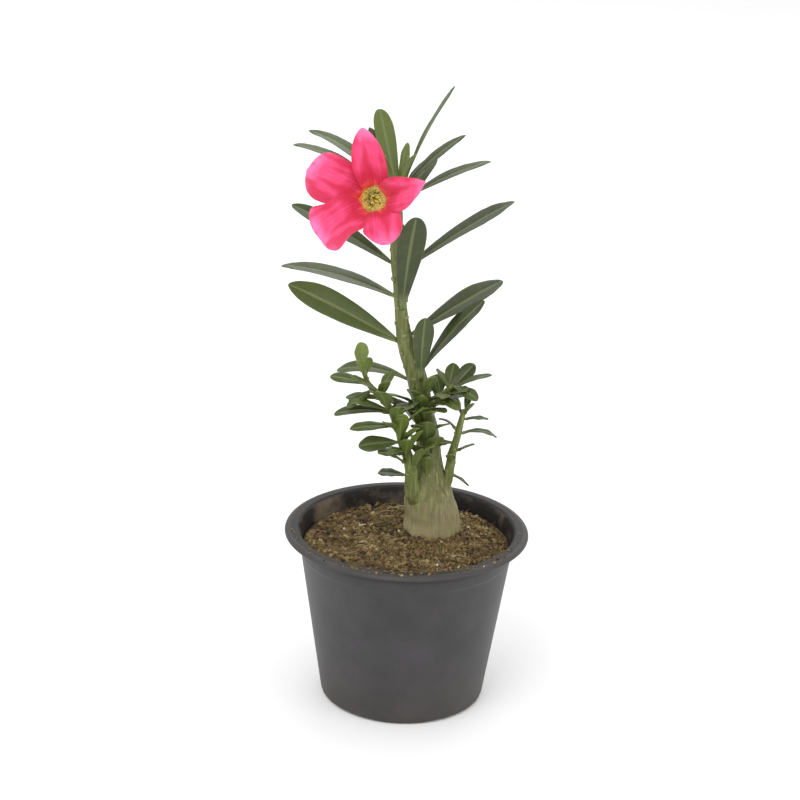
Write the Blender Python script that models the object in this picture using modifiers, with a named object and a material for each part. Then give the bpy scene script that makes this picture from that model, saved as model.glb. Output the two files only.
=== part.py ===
"""Potted desert rose: a young Adenium obesum, in flower, in a thin moulded nursery pot.

Metres, +Z up. The origin is the middle of the pot's underside, and the flower looks towards -Y.
"""

import math

import bmesh
import bpy
from mathutils import Matrix, Vector

MM = 0.001
GAP = 0.3 * MM  # left between pieces that touch

# Pot
POT_HEIGHT = 88 * MM
LIP_RADIUS = 60 * MM
LIP_DEPTH = 2.4 * MM
LIP_WALL = 1.1 * MM
MOUTH_RADIUS = 54 * MM
FOOT_RADIUS = 40.5 * MM
WALL_SLOPE = 0.149  # how much the wall's radius grows with each metre of height
WALL = 1.2 * MM
COLLAR_HEIGHT = 76 * MM
COLLAR_STEP = 0.6 * MM
FLOOR_TOP = 3.8 * MM
FLOOR_UNDERSIDE = 2.6 * MM
FOOT_RING = 4.5 * MM
PAD_RADIUS = 8.4 * MM
POT_SIDES = 48
DRAIN_HOLES = 6
DRAIN_RADIUS = 4.5 * MM
DRAIN_CIRCLE = 27 * MM
FEET = 4  # stretches of the foot ring that reach the ground, one of them in front
NOTCH = (30 * MM, 36 * MM, 1.3 * MM)  # depth, width and height of each cut between two feet
NOTCH_START = 30 * MM  # distance of a cut's inner end from the axis

# Soil
SOIL_LEVEL = 79 * MM
SOIL_MOUND = 4 * MM
SOIL_MOUND_SPREAD = 22 * MM
SOIL_BASE = 4.1 * MM
SOIL_SIDE_GAP = 0.35 * MM

# Stems: x, y, z and radius at each station, in millimetres, from the foot up
TRUNK = [
    (13, 14, 46, 2.5), (12.5, 14, 56, 8), (12.5, 14, 68, 13), (12.5, 14, 80, 14.5),
    (12.3, 14, 88, 13.6), (11, 13.5, 97, 12.3), (10, 13, 106, 10.3), (9.8, 13, 114, 7.6),
    (9.5, 12.5, 124, 6), (8.5, 12, 134, 5.4), (6.3, 12, 145, 5), (3.7, 11.5, 157, 4.8),
    (1, 11, 167, 4.8), (-2.5, 10.5, 177, 4.5), (-4.8, 10, 186, 3.6), (-6.2, 9.5, 196, 3),
    (-7.4, 9, 209, 3.1), (-8.5, 8.5, 222, 3.3), (-9.3, 8, 236, 3.2), (-9.9, 7.5, 248, 2.9),
    (-10, 7.5, 261, 1.6),
]
LEFT_BRANCH = [
    (6, 9, 95, 3.8), (3, 6.5, 101, 3.5), (1.5, 5, 106.4, 3.1), (1.2, 3.7, 116.4, 2.9), (-1, 2.4, 124.7, 2.6),
    (-3.7, 1.1, 133, 2.3), (-5.9, -0.1, 141.2, 2.1), (-9.5, -1.4, 149.2, 1.8),
    (-13, -2.7, 155.2, 1.6), (-16, -4, 160.2, 1.3),
]
RIGHT_BRANCH = [
    (15, 12.5, 99, 2.6), (19.3, 12, 107.3, 2.4), (20.4, 10.8, 116.9, 2.3),
    (21.5, 9.6, 125.3, 2), (23.2, 8.4, 132.7, 1.8), (24.3, 7.2, 139.5, 1.5),
    (25.9, 6, 147.7, 1.2),
]
UPPER_LEFT_BRANCH = [
    (4, 11, 146, 1.8), (-1.3, 10, 147.4, 1.8), (-9.2, 6.5, 151.5, 1.6), (-16, 3, 156.1, 1.5),
    (-20.9, -0.5, 162.3, 1.3), (-23.4, -4, 171.1, 1.1),
]
UPPER_RIGHT_BRANCH = [
    (6, 11, 145.5, 1.9), (9.4, 10, 148.3, 1.9), (13.1, 8, 152.3, 1.7), (16.8, 6, 156.7, 1.5),
    (19.6, 4, 160.6, 1.3),
]
STEMS = {
    "trunk": TRUNK,
    "left_branch": LEFT_BRANCH,
    "right_branch": RIGHT_BRANCH,
    "upper_left_branch": UPPER_LEFT_BRANCH,
    "upper_right_branch": UPPER_RIGHT_BRANCH,
}

# Leaves: stem, height of the foot, azimuth, rise, length, width, arch and roll. Millimetres and
# degrees. Azimuth 0 is +X and 90 is +Y, rise is the tilt of the foot above level, arch is how far
# the leaf bends down between foot and tip, and roll turns the blade about its own length.
LEAVES = {
    "leaf_crown_1": ("trunk", 258, 5, 72, 53, 8, 15, 0),
    "leaf_crown_2": ("trunk", 256, 15, 50, 39, 10, 18, 5),
    "leaf_crown_3": ("trunk", 251, 5, 34, 45, 11, 20, 5),
    "leaf_crown_4": ("trunk", 258, 105, 54, 40, 8, 10, 0),
    "leaf_crown_5": ("trunk", 253, 126, 60, 36, 8, 20, -10),
    "leaf_crown_6": ("trunk", 254, 168, 54, 50, 11, 45, -10),
    "leaf_crown_7": ("trunk", 251, 190, 50, 54, 11, 40, -5),
    "leaf_stem_1": ("trunk", 220, 165, 29, 55, 13, 10, -15),
    "leaf_stem_2": ("trunk", 203, 155, 15, 62, 14, 20, -8),
    "leaf_stem_3": ("trunk", 181, 185, 31, 59, 15, 5, -45),
    "leaf_stem_4": ("trunk", 217, 20, 32, 64, 15, 10, 15),
    "leaf_stem_5": ("trunk", 200, -60, 76, 47, 12, 0, 0),
    "leaf_stem_6": ("trunk", 184, 20, 30, 52, 14, 10, 18),
    "leaf_stem_7": ("trunk", 168, -4, 50, 44, 11, 10, 15),
    "leaf_stem_8": ("trunk", 165, -50, 88, 29, 10, 0, 0),
    "leaf_stem_9": ("trunk", 232, 105, 40, 38, 12, 10, 0),
    "leaf_left_1": ("upper_left_branch", 171, 120, 84, 12, 8, 10, 0),
    "leaf_left_2": ("trunk", 161, 175, 24, 36, 10, 50, -15),
    "leaf_left_3": ("upper_left_branch", 162, 180, 18, 17, 8, 25, -20),
    "leaf_left_4": ("upper_left_branch", 158, 215, -15, 15, 6, 25, -15),
    "leaf_left_5": ("trunk", 150, 225, 35, 20, 8, 20, 0),
    "leaf_left_6": ("left_branch", 148, 190, 16, 26, 8, 35, -10),
    "leaf_left_7": ("left_branch", 141, 205, 10, 22, 8, 20, -15),
    "leaf_left_8": ("left_branch", 132, 200, 6, 19, 9, 30, -35),
    "leaf_left_9": ("left_branch", 129, 240, 20, 12, 6, 20, -20),
    "leaf_left_10": ("left_branch", 119, 305, 66, 14, 7, 10, 0),
    "leaf_left_11": ("left_branch", 114, 195, 15, 13, 7, 20, -20),
    "leaf_left_12": ("left_branch", 138, 280, 70, 13, 7, 10, 0),
    "leaf_left_13": ("left_branch", 151, 250, 57, 17, 8, 20, 0),
    "leaf_centre_1": ("trunk", 129, 268, 60, 20, 9, 10, 0),
    "leaf_centre_2": ("trunk", 140, 265, 55, 15, 8, 10, 0),
    "leaf_centre_3": ("trunk", 117, 255, 72, 15, 7, 10, 0),
    "leaf_centre_4": ("trunk", 150, 75, 20, 22, 9, 20, 0),
    "leaf_right_1": ("upper_right_branch", 157, 25, 48, 18, 8, 20, 30),
    "leaf_right_2": ("upper_right_branch", 159, -5, 38, 20, 6, 30, 10),
    "leaf_right_3": ("upper_right_branch", 160.6, -40, -5, 14, 7, 20, 20),
    "leaf_right_4": ("upper_right_branch", 154, -65, 8, 17, 7, 20, 10),
    "leaf_right_5": ("upper_right_branch", 154, 105, 50, 11, 5, 10, 0),
    "leaf_right_6": ("right_branch", 143, 0, 9, 11, 4, 15, 10),
    "leaf_right_7": ("right_branch", 147, 60, 64, 9, 4, 5, 0),
    "leaf_right_8": ("right_branch", 135, 10, 16, 19, 5, 60, 10),
    "leaf_right_9": ("right_branch", 138, 190, 60, 10, 3, 60, 0),
    "leaf_right_10": ("right_branch", 130, 200, 8, 8, 5, 20, -15),
    "leaf_right_11": ("right_branch", 111, 20, -31, 11, 4, 20, 10),
}
LEAF_THICKNESS = 0.8 * MM
BLUNTNESS = 0.65  # 1 gives a pointed blade, less a rounder tip and shoulders
TIP_SHARE = 0.08  # no part of a blade is narrower than this share of its widest
LEAF_FOLD = 0.18  # rise of the edges over the midrib, as a share of the half width
LEAF_STANDOFF = 0.7 * MM
LONG_LEAF = 30 * MM

# Flower: the empty that carries it stands in the middle of the tube's mouth, +Z out of the flower
FLOWER_PLACE = Vector((-20, -22, 258.7)) * MM
FLOWER_TURN = -20  # degrees about Z, from looking straight at -Y
FLOWER_LIFT = 23  # degrees above level
# Petals: direction round the flower, length, width, rise of the foot above the plane of the
# tube's mouth, and roll. Millimetres and degrees; direction 90 is up.
PETALS = {
    "petal_1": (92, 27.5, 21, 48, 14),
    "petal_2": (166, 27.5, 23.5, 50, 0),
    "petal_3": (238, 26.5, 23, 50, 0),
    "petal_4": (309, 25, 22, 50, -8),
    "petal_5": (20, 27, 19, 48, 16),
}
PETAL_ARCH = 35
PETAL_THICKNESS = 0.6 * MM
PETAL_FOLD = 0.1
MOUTH_OUTER = 7.2 * MM
TUBE_LENGTH = 23 * MM
TUBE_WALL = 0.7 * MM
TUBE_SIDES = 20
CALYX_LENGTH = 7 * MM
CALYX_TOOTH = 1.8 * MM
CALYX_TEETH = 5
ANTHER_LENGTH = 12 * MM

COLOURS = {
    "pot": (0.070, 0.070, 0.073, 0.55),
    "soil": (0.130, 0.080, 0.035, 0.95),
    "bark": (0.230, 0.190, 0.110, 0.80),
    "green_stem": (0.150, 0.190, 0.045, 0.60),
    "leaf": (0.065, 0.105, 0.022, 0.45),
    "petal": (0.900, 0.070, 0.210, 0.55),
    "throat": (0.480, 0.380, 0.060, 0.60),
}


def make_material(name):
    """A Principled material with the colour and roughness of its entry in COLOURS."""
    red, green, blue, roughness = COLOURS[name]
    material = bpy.data.materials.new(name)
    material.use_nodes = True
    shader = material.node_tree.nodes["Principled BSDF"]
    shader.inputs["Base Color"].default_value = (red, green, blue, 1)
    shader.inputs["Roughness"].default_value = roughness
    shader.inputs["Metallic"].default_value = 0
    material.diffuse_color = (red, green, blue, 1)
    return material


def clear_scene():
    for obj in list(bpy.data.objects):
        bpy.data.objects.remove(obj, do_unlink=True)


def new_collection(name):
    collection = bpy.data.collections.new(name)
    bpy.context.scene.collection.children.link(collection)
    return collection


def add_object(name, data, material=None):
    """An object of this mesh or curve, in the plant's collection, with one material."""
    obj = bpy.data.objects.new(name, data)
    PARTS.objects.link(obj)
    if material:
        data.materials.append(MATERIALS[material])
    return obj


def as_cutter(obj):
    """Moves a closed object to the cutters, where it shows as wires and isn't rendered."""
    PARTS.objects.unlink(obj)
    CUTTERS.objects.link(obj)
    obj.hide_render = True
    obj.display_type = "WIRE"
    return obj


def as_mesh(obj):
    """The same object as a plain welded mesh, with its modifiers or curve bevel worked in."""
    graph = bpy.context.evaluated_depsgraph_get()
    mesh = bpy.data.meshes.new_from_object(obj.evaluated_get(graph))
    name, place, parent = obj.name, obj.matrix_world.copy(), obj.parent
    bpy.data.objects.remove(obj, do_unlink=True)
    welded = bmesh.new()
    welded.from_mesh(mesh)
    bmesh.ops.remove_doubles(welded, verts=welded.verts, dist=0.01 * MM)
    bmesh.ops.recalc_face_normals(welded, faces=welded.faces)
    welded.to_mesh(mesh)
    welded.free()
    mesh.name = name
    solid = bpy.data.objects.new(name, mesh)
    solid.parent = parent
    solid.matrix_world = place
    PARTS.objects.link(solid)
    return solid


def shade_round(obj, angle=40):
    obj.data.shade_smooth()
    obj.data.set_sharp_from_angle(angle=math.radians(angle))
    return obj


def turned(name, profile, sides, material):
    """A solid of revolution about Z. The profile's points (radius, height) run down the outside."""
    mesh = bpy.data.meshes.new(name)
    points = [(radius, 0, height) for radius, height in profile]
    edges = [(i, i + 1) for i in range(len(points) - 1)]
    mesh.from_pydata(points, edges, [])
    obj = add_object(name, mesh, material)
    screw = obj.modifiers.new("Turn", "SCREW")
    screw.steps = sides
    screw.render_steps = sides
    screw.use_merge_vertices = True
    screw.merge_threshold = 0.01 * MM
    screw.use_smooth_shade = True
    return obj


def cut(obj, cutter):
    """Takes a cutter out of an object."""
    boolean = obj.modifiers.new("Cut " + cutter.name, "BOOLEAN")
    boolean.operation = "DIFFERENCE"
    boolean.solver = "EXACT"
    boolean.object = cutter


def wall_radius(height):
    """Outer radius of the pot's tapered wall."""
    return FOOT_RADIUS + WALL_SLOPE * height


def pot_profile():
    """From the middle of the floor out, up the inside, over the lip, down the outside and back."""
    top = POT_HEIGHT
    inner = wall_radius(FLOOR_TOP) - WALL
    neck = wall_radius(COLLAR_HEIGHT)
    foot = wall_radius(0)
    return [
        (0, FLOOR_TOP),
        (inner - 1.4 * MM, FLOOR_TOP),
        (inner - 0.1 * MM, FLOOR_TOP + 1.3 * MM),
        (neck - WALL, COLLAR_HEIGHT - 1 * MM),
        (MOUTH_RADIUS - 1.8 * MM, top - 4 * MM),
        (MOUTH_RADIUS - 1 * MM, top - 1 * MM),
        (MOUTH_RADIUS, top),
        (LIP_RADIUS - 2 * MM, top - 0.2 * MM),
        (LIP_RADIUS - 0.6 * MM, top - 0.7 * MM),
        (LIP_RADIUS, top - 1.6 * MM),
        (LIP_RADIUS, top - LIP_DEPTH),
        (LIP_RADIUS - LIP_WALL, top - LIP_DEPTH),
        (LIP_RADIUS - LIP_WALL - 0.3 * MM, top - 1.5 * MM),
        (MOUTH_RADIUS + 1.4 * MM, top - 1.3 * MM),
        (MOUTH_RADIUS + 0.2 * MM, top - 2.4 * MM),
        (MOUTH_RADIUS - 0.6 * MM, top - 5 * MM),
        (neck + COLLAR_STEP, COLLAR_HEIGHT),
        (neck, COLLAR_HEIGHT - 0.8 * MM),
        (wall_radius(2.5 * MM), 2.5 * MM),
        (foot - 0.1 * MM, 0.9 * MM),
        (foot - 1.1 * MM, 0.2 * MM),
        (foot - 1.9 * MM, 0),
        (foot - FOOT_RING + 0.4 * MM, 0),
        (foot - FOOT_RING - 0.2 * MM, FLOOR_UNDERSIDE),
        (PAD_RADIUS + 0.6 * MM, FLOOR_UNDERSIDE),
        (PAD_RADIUS, 0),
        (0, 0),
    ]


def drain_cutter():
    """Six round drains through the floor, in one object."""
    drains = bmesh.new()
    for i in range(DRAIN_HOLES):
        angle = math.tau * i / DRAIN_HOLES
        drain = bmesh.ops.create_cone(
            drains, cap_ends=True, segments=16, radius1=DRAIN_RADIUS, radius2=DRAIN_RADIUS, depth=8 * MM
        )
        place = Vector((math.cos(angle), math.sin(angle), 0)) * DRAIN_CIRCLE
        bmesh.ops.translate(drains, verts=drain["verts"], vec=place + Vector((0, 0, FLOOR_TOP)))
    mesh = bpy.data.meshes.new("drain_cutter")
    drains.to_mesh(mesh)
    drains.free()
    return as_cutter(add_object("drain_cutter", mesh))


def notch_cutter():
    """Shallow cuts through the foot ring, between its feet, which let water out sideways."""
    depth, width, height = NOTCH
    slots = bmesh.new()
    for i in range(FEET):
        slot = bmesh.ops.create_cube(slots, size=1)
        bmesh.ops.scale(slots, verts=slot["verts"], vec=(depth, width, 2 * height))
        bmesh.ops.translate(slots, verts=slot["verts"], vec=(NOTCH_START + depth / 2, 0, 0))
        rotate_about_z(slots, slot["verts"], math.tau * (i + 0.5) / FEET)
    mesh = bpy.data.meshes.new("notch_cutter")
    slots.to_mesh(mesh)
    slots.free()
    return as_cutter(add_object("notch_cutter", mesh))


def rotate_about_z(shape, verts, angle):
    bmesh.ops.rotate(shape, verts=verts, cent=(0, 0, 0), matrix=Matrix.Rotation(angle, 3, "Z"))


def make_pot():
    pot = turned("pot", pot_profile(), POT_SIDES, "pot")
    cut(pot, drain_cutter())
    cut(pot, notch_cutter())
    return pot


def stem_point(stem, height):
    """Centre and radius of a stem at a height, in metres."""
    stations = STEMS[stem]
    upper = next((i for i, s in enumerate(stations) if s[2] * MM >= height), len(stations) - 1)
    upper = max(upper, 1)
    low, high = stations[upper - 1], stations[upper]
    share = min(1, (height / MM - low[2]) / (high[2] - low[2]))
    mixed = [a + (b - a) * share for a, b in zip(low, high)]
    return Vector(mixed[:3]) * MM, mixed[3] * MM


def tube(name, stations, material, sides_resolution, grow=0):
    """A round tube whose radius changes along its length, made as a curve and turned to a mesh."""
    curve = bpy.data.curves.new(name, "CURVE")
    curve.dimensions = "3D"
    curve.bevel_depth = 1
    curve.bevel_resolution = sides_resolution
    curve.use_fill_caps = True
    spline = curve.splines.new("POLY")
    spline.points.add(len(stations) - 1)
    for point, (x, y, z, radius) in zip(spline.points, stations):
        point.co = (x * MM, y * MM, z * MM, 1)
        point.radius = radius * MM + grow
    return as_mesh(add_object(name, curve, material))


def make_stems():
    """The trunk with its swollen foot and tap root, and the side stems that grow out of it."""
    trunk = tube("trunk", TRUNK, "bark", 6)
    shade_round(trunk)
    room = as_cutter(tube("trunk_room", TRUNK, None, 6, grow=GAP))
    for name, stations in STEMS.items():
        if name != "trunk":
            branch = shade_round(tube(name, stations, "green_stem", 2))
            cut(branch, room)
    return room


def make_soil(root_room):
    """Potting mix up to a finger's width under the rim, heaped up round the plant's foot."""
    floor = SOIL_BASE
    side_low = wall_radius(floor) - WALL - SOIL_SIDE_GAP
    side_top = wall_radius(SOIL_LEVEL) - WALL - SOIL_SIDE_GAP
    rings = [i / 8 for i in range(8)]
    profile = [(side_top * ring, SOIL_LEVEL) for ring in rings]
    profile += [(side_top - 0.6 * MM, SOIL_LEVEL), (side_top - 0.9 * MM, SOIL_LEVEL - 4 * MM)]
    profile += [(side_low - 0.2 * MM, floor + 2 * MM), (side_low - 2 * MM, floor), (0, floor)]
    soil = as_mesh(turned("potting_soil", profile, POT_SIDES, "soil"))
    foot, _ = stem_point("trunk", SOIL_LEVEL)
    for vert in soil.data.vertices:
        if vert.co.z > SOIL_LEVEL - 1 * MM:
            away = (vert.co.xy - foot.xy).length / SOIL_MOUND_SPREAD
            vert.co.z += SOIL_MOUND * math.exp(-away * away)
    cut(soil, root_room)
    return soil


def blade_outline(along, foot_share, peak):
    """Half width of a leaf or petal as a share of its widest, at 0 (foot) to 1 (tip)."""
    belly = math.sin(math.pi * along**peak) ** BLUNTNESS
    foot = foot_share * (1 - along)
    return max(foot + (1 - foot) * belly, TIP_SHARE)


def blade_mesh(name, size, arch, fold, grid, foot_share, peak):
    """A thin closed blade along +X, bent down by arch and creased upwards along its midrib."""
    length, width = size
    bend = max(math.radians(arch), 0.001)
    sheet = bmesh.new()
    bmesh.ops.create_grid(sheet, x_segments=grid[0], y_segments=grid[1], size=0.5)
    for vert in sheet.verts:
        along = min(max(vert.co.x + 0.5, 0), 1)
        side = 2 * vert.co.y * width / 2 * blade_outline(along, foot_share, peak)
        turn = bend * along
        lift = fold * abs(side)
        vert.co.x = length * math.sin(turn) / bend + lift * math.sin(turn)
        vert.co.y = side
        vert.co.z = -length * (1 - math.cos(turn)) / bend + lift * math.cos(turn)
    mesh = bpy.data.meshes.new(name)
    sheet.to_mesh(mesh)
    sheet.free()
    return mesh


def add_blade(name, mesh, thickness, material):
    """An object of a blade's sheet, with its thickness."""
    blade = add_object(name, mesh, material)
    solid = blade.modifiers.new("Thickness", "SOLIDIFY")
    solid.thickness = thickness
    solid.offset = 0
    mesh.shade_smooth()
    return blade


def make_leaf(name, stem, height, azimuth, rise, length, width, arch, roll):
    size = (length * MM, width * MM)
    grid = (8, 4) if length * MM > LONG_LEAF else (6, 2)
    mesh = blade_mesh(name, size, arch, LEAF_FOLD, grid, foot_share=0.16, peak=1.45)
    leaf = add_blade(name, mesh, LEAF_THICKNESS, "leaf")
    centre, radius = stem_point(stem, height * MM)
    turn = math.radians(azimuth)
    outwards = Vector((math.cos(turn), math.sin(turn), 0))
    leaf.location = centre + outwards * (radius + LEAF_STANDOFF)
    leaf.rotation_euler = (math.radians(roll), -math.radians(rise), turn)


def make_flower():
    """Stalk, calyx, tube, five petals and the cone of anthers, on the flower's own axis."""
    carrier = bpy.data.objects.new("flower_axis", None)
    PARTS.objects.link(carrier)
    carrier.location = FLOWER_PLACE
    carrier.rotation_euler = (math.radians(90 - FLOWER_LIFT), 0, math.radians(FLOWER_TURN))
    bpy.context.view_layer.update()
    for piece in (*make_petals(), make_corolla_tube(), make_calyx(), make_anthers()):
        piece.parent = carrier
    bpy.context.view_layer.update()
    make_stalk(carrier.matrix_world)


def make_petals():
    petals = []
    for name, (direction, length, width, rise, roll) in PETALS.items():
        size = (length * MM, width * MM)
        sheet = blade_mesh(name, size, PETAL_ARCH, PETAL_FOLD, (7, 4), foot_share=0.42, peak=1.35)
        petal = add_blade(name, sheet, PETAL_THICKNESS, "petal")
        turn = math.radians(direction)
        petal.location = Vector((math.cos(turn), math.sin(turn), 0)) * (MOUTH_OUTER + 2 * GAP)
        petal.rotation_euler = (math.radians(roll), -math.radians(rise), turn)
        petals.append(petal)
    return petals


def make_corolla_tube():
    """A trumpet, open at the mouth: a narrow neck, then a bell that flares to the petals."""
    stations = [(0, 1.0), (-0.12, 0.95), (-0.4, 0.78), (-0.6, 0.5), (-0.7, 0.36), (-1, 0.3)]
    outside = [(MOUTH_OUTER * share, TUBE_LENGTH * down) for down, share in stations]
    inside = [(r - TUBE_WALL, z) for r, z in reversed(outside[:-1])]
    profile = [(0, inside[0][1] - 1 * MM)] + inside + outside + [(0, -TUBE_LENGTH)]
    return turned("corolla_tube", profile, TUBE_SIDES, "throat")


def make_calyx():
    """A short cup round the foot of the tube, its rim drawn out into five teeth."""
    cup = bmesh.new()
    inner = 0.36 * MOUTH_OUTER + 2 * GAP
    bmesh.ops.create_cone(
        cup, cap_ends=False, segments=20, radius1=inner, radius2=inner + 0.9 * MM, depth=CALYX_LENGTH
    )
    for vert in cup.verts:
        if vert.co.z > 0:
            tooth = math.cos(CALYX_TEETH * math.atan2(vert.co.y, vert.co.x))
            vert.co.z += CALYX_TOOTH * tooth
        vert.co.z -= TUBE_LENGTH - CALYX_LENGTH / 2 + 0.5 * MM
    bmesh.ops.recalc_face_normals(cup, faces=cup.faces)
    mesh = bpy.data.meshes.new("calyx")
    cup.to_mesh(mesh)
    cup.free()
    calyx = add_object("calyx", mesh, "green_stem")
    solid = calyx.modifiers.new("Wall", "SOLIDIFY")
    solid.thickness = 0.6 * MM
    solid.offset = 1
    return calyx


def make_anthers():
    """The anthers lean together in a cone that fills the throat."""
    depth = -0.64 * TUBE_LENGTH
    profile = [
        (0, depth + ANTHER_LENGTH),
        (0.5 * MM, depth + ANTHER_LENGTH - 0.4 * MM),
        (1.6 * MM, depth + 0.5 * ANTHER_LENGTH),
        (2.2 * MM, depth + 0.2 * ANTHER_LENGTH),
        (1.5 * MM, depth),
        (0, depth),
    ]
    return turned("anther_cone", profile, 12, "throat")


def make_stalk(flower):
    """The short stalk from the top of the trunk to the foot of the tube."""
    start, radius = stem_point("trunk", 243 * MM)
    foot = flower @ Vector((0, 0, -TUBE_LENGTH - GAP))
    before = flower @ Vector((0, 0, -TUBE_LENGTH - 3 * MM))
    outside = start + Vector((-0.2, -1, 0)).normalized() * (radius + 1.2 * MM)
    route = [outside, outside.lerp(before, 0.5) + Vector((0, -0.4, -0.8)) * MM, before, foot]
    stations = [(*(point / MM), size) for point, size in zip(route, (1.0, 1.1, 1.3, 1.6))]
    return shade_round(tube("flower_stalk", stations, "green_stem", 2))


clear_scene()
PARTS = new_collection("potted_desert_rose")
CUTTERS = new_collection("cutters")
MATERIALS = {name: make_material(name) for name in COLOURS}
make_pot()
ROOT_ROOM = make_stems()
make_soil(ROOT_ROOM)
for leaf_name, leaf_values in LEAVES.items():
    make_leaf(leaf_name, *leaf_values)
make_flower()
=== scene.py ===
"""Potted desert rose: the finished surfaces of a young Adenium obesum, in flower, in a thin nursery pot.

Metres, +Z up. The origin is the middle of the pot's underside, and the flower looks towards -Y.
"""

import math
import random

import bmesh
import bpy
from bpy.props import FloatProperty, FloatVectorProperty, IntProperty, PointerProperty
from mathutils import Euler, Matrix, Vector


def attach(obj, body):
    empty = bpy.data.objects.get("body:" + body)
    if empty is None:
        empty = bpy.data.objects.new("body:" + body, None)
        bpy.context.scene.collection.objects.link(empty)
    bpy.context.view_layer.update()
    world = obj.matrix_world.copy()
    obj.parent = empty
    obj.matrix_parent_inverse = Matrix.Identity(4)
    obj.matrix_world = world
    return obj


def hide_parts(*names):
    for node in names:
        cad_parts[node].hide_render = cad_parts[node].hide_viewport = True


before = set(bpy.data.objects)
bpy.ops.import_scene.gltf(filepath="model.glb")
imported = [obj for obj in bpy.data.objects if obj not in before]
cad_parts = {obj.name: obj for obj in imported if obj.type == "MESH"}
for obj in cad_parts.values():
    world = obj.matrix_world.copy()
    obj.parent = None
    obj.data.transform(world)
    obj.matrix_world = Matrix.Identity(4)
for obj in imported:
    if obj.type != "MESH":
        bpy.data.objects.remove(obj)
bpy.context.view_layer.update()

bl_info = {
    "name": "Potted Desert Rose",
    "version": (1, 0, 0),
    "blender": (4, 5, 0),
    "location": "3D View > Sidebar > Desert Rose",
    "description": "Builds a desert rose's pot, soil, stems, leaves and flower around its packed frame",
    "category": "Add Mesh",
}

MM = 0.001
BODY = "root"

# Pot, as its solid has it
POT_HEIGHT = 88 * MM
LIP_RADIUS = 60 * MM
LIP_DEPTH = 2.4 * MM
LIP_WALL = 1.1 * MM
LIP_BASE = POT_HEIGHT - 2 * MM  # height at which the wall runs out into the lip
LIP_SHADE = 4.4 * MM  # how far out from the wall the painted shade reaches over the lip
MOUTH_RADIUS = 54 * MM
FOOT_RADIUS = 40.5 * MM
WALL_SLOPE = 0.149
WALL = 1.2 * MM
COLLAR_HEIGHT = 76 * MM
COLLAR_STEP = 0.6 * MM
FLOOR_TOP = 3.8 * MM
FLOOR_UNDERSIDE = 2.6 * MM
FOOT_RING = 4.5 * MM
PAD_RADIUS = 8.4 * MM
DRAINS = 6
DRAIN_RADIUS = 4.5 * MM
DRAIN_CIRCLE = 27 * MM
FEET = 4  # stretches of the foot ring that reach the ground, one of them in front
NOTCH = (30 * MM, 36 * MM, 1.3 * MM)  # depth, width and height of each cut between two feet
NOTCH_START = 30 * MM

# Soil
SOIL_LEVEL = 79 * MM
SOIL_BASE = 4.1 * MM
SOIL_SIDE_GAP = 0.35 * MM
SOIL_BARE_EDGE = 1.6 * MM  # width of the bed's edge on which no crumb's middle falls
SOIL_RINGS = 44
SOIL_SIDES = 160
TRUNK_FOOT = (12.5 * MM, 14 * MM, 0)
CRUMB_FREE = 12.5 * MM  # radius round the trunk's foot in which no crumb falls
# The flat of the lip on which crumbs lie: its middle radius, half its width and its height.
LIP_FLAT = ((MOUTH_RADIUS + LIP_RADIUS) / 2 - 0.6 * MM, 1.8 * MM, POT_HEIGHT - 0.1 * MM)

# Stems: x, y, z and radius at each station, in millimetres, from the foot up
STEMS = {
    "trunk": [
        (13, 14, 46, 2.5), (12.5, 14, 56, 8), (12.5, 14, 68, 13), (12.5, 14, 80, 14.5),
        (12.3, 14, 88, 13.6), (11, 13.5, 97, 12.3), (10, 13, 106, 10.3), (9.8, 13, 114, 7.6),
        (9.5, 12.5, 124, 6), (8.5, 12, 134, 5.4), (6.3, 12, 145, 5), (3.7, 11.5, 157, 4.8),
        (1, 11, 167, 4.8), (-2.5, 10.5, 177, 4.5), (-4.8, 10, 186, 3.6), (-6.2, 9.5, 196, 3),
        (-7.4, 9, 209, 3.1), (-8.5, 8.5, 222, 3.3), (-9.3, 8, 236, 3.2), (-9.9, 7.5, 248, 2.9),
        (-10, 7.5, 258, 2.0), (-10, 7.5, 261, 0.8),
    ],
    "left_branch": [
        (11, 14, 84, 4), (8.2, 12, 91, 5), (5.3, 9.2, 98, 5.3), (3, 6.8, 104, 4.6), (1.7, 5, 110, 3.6),
        (1.2, 3.7, 116.4, 3.1),
        (-1, 2.4, 124.7, 2.6), (-3.7, 1.1, 133, 2.3), (-5.9, -0.1, 141.2, 2.1),
        (-9.5, -1.4, 149.2, 1.8), (-13, -2.7, 155.2, 1.6), (-16, -4, 160.2, 1.3),
    ],
    "right_branch": [
        (12, 13, 92, 3), (15.5, 12.4, 99, 3), (19.3, 12, 107.3, 2.4), (20.4, 10.8, 116.9, 2.3),
        (21.5, 9.6, 125.3, 2), (23.2, 8.4, 132.7, 1.8), (24.3, 7.2, 139.5, 1.5),
        (25.9, 6, 147.7, 1.2),
    ],
    "upper_left_branch": [
        (4, 11, 146, 1.8), (-1.3, 10, 147.4, 1.8), (-9.2, 6.5, 151.5, 1.6), (-16, 3, 156.1, 1.5),
        (-20.9, -0.5, 162.3, 1.3), (-23.4, -4, 171.1, 1.1),
    ],
    "upper_right_branch": [
        (6, 11, 145.5, 1.9), (9.4, 10, 148.3, 1.9), (13.1, 8, 152.3, 1.7), (16.8, 6, 156.7, 1.5),
        (19.6, 4, 160.6, 1.3),
    ],
}

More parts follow.
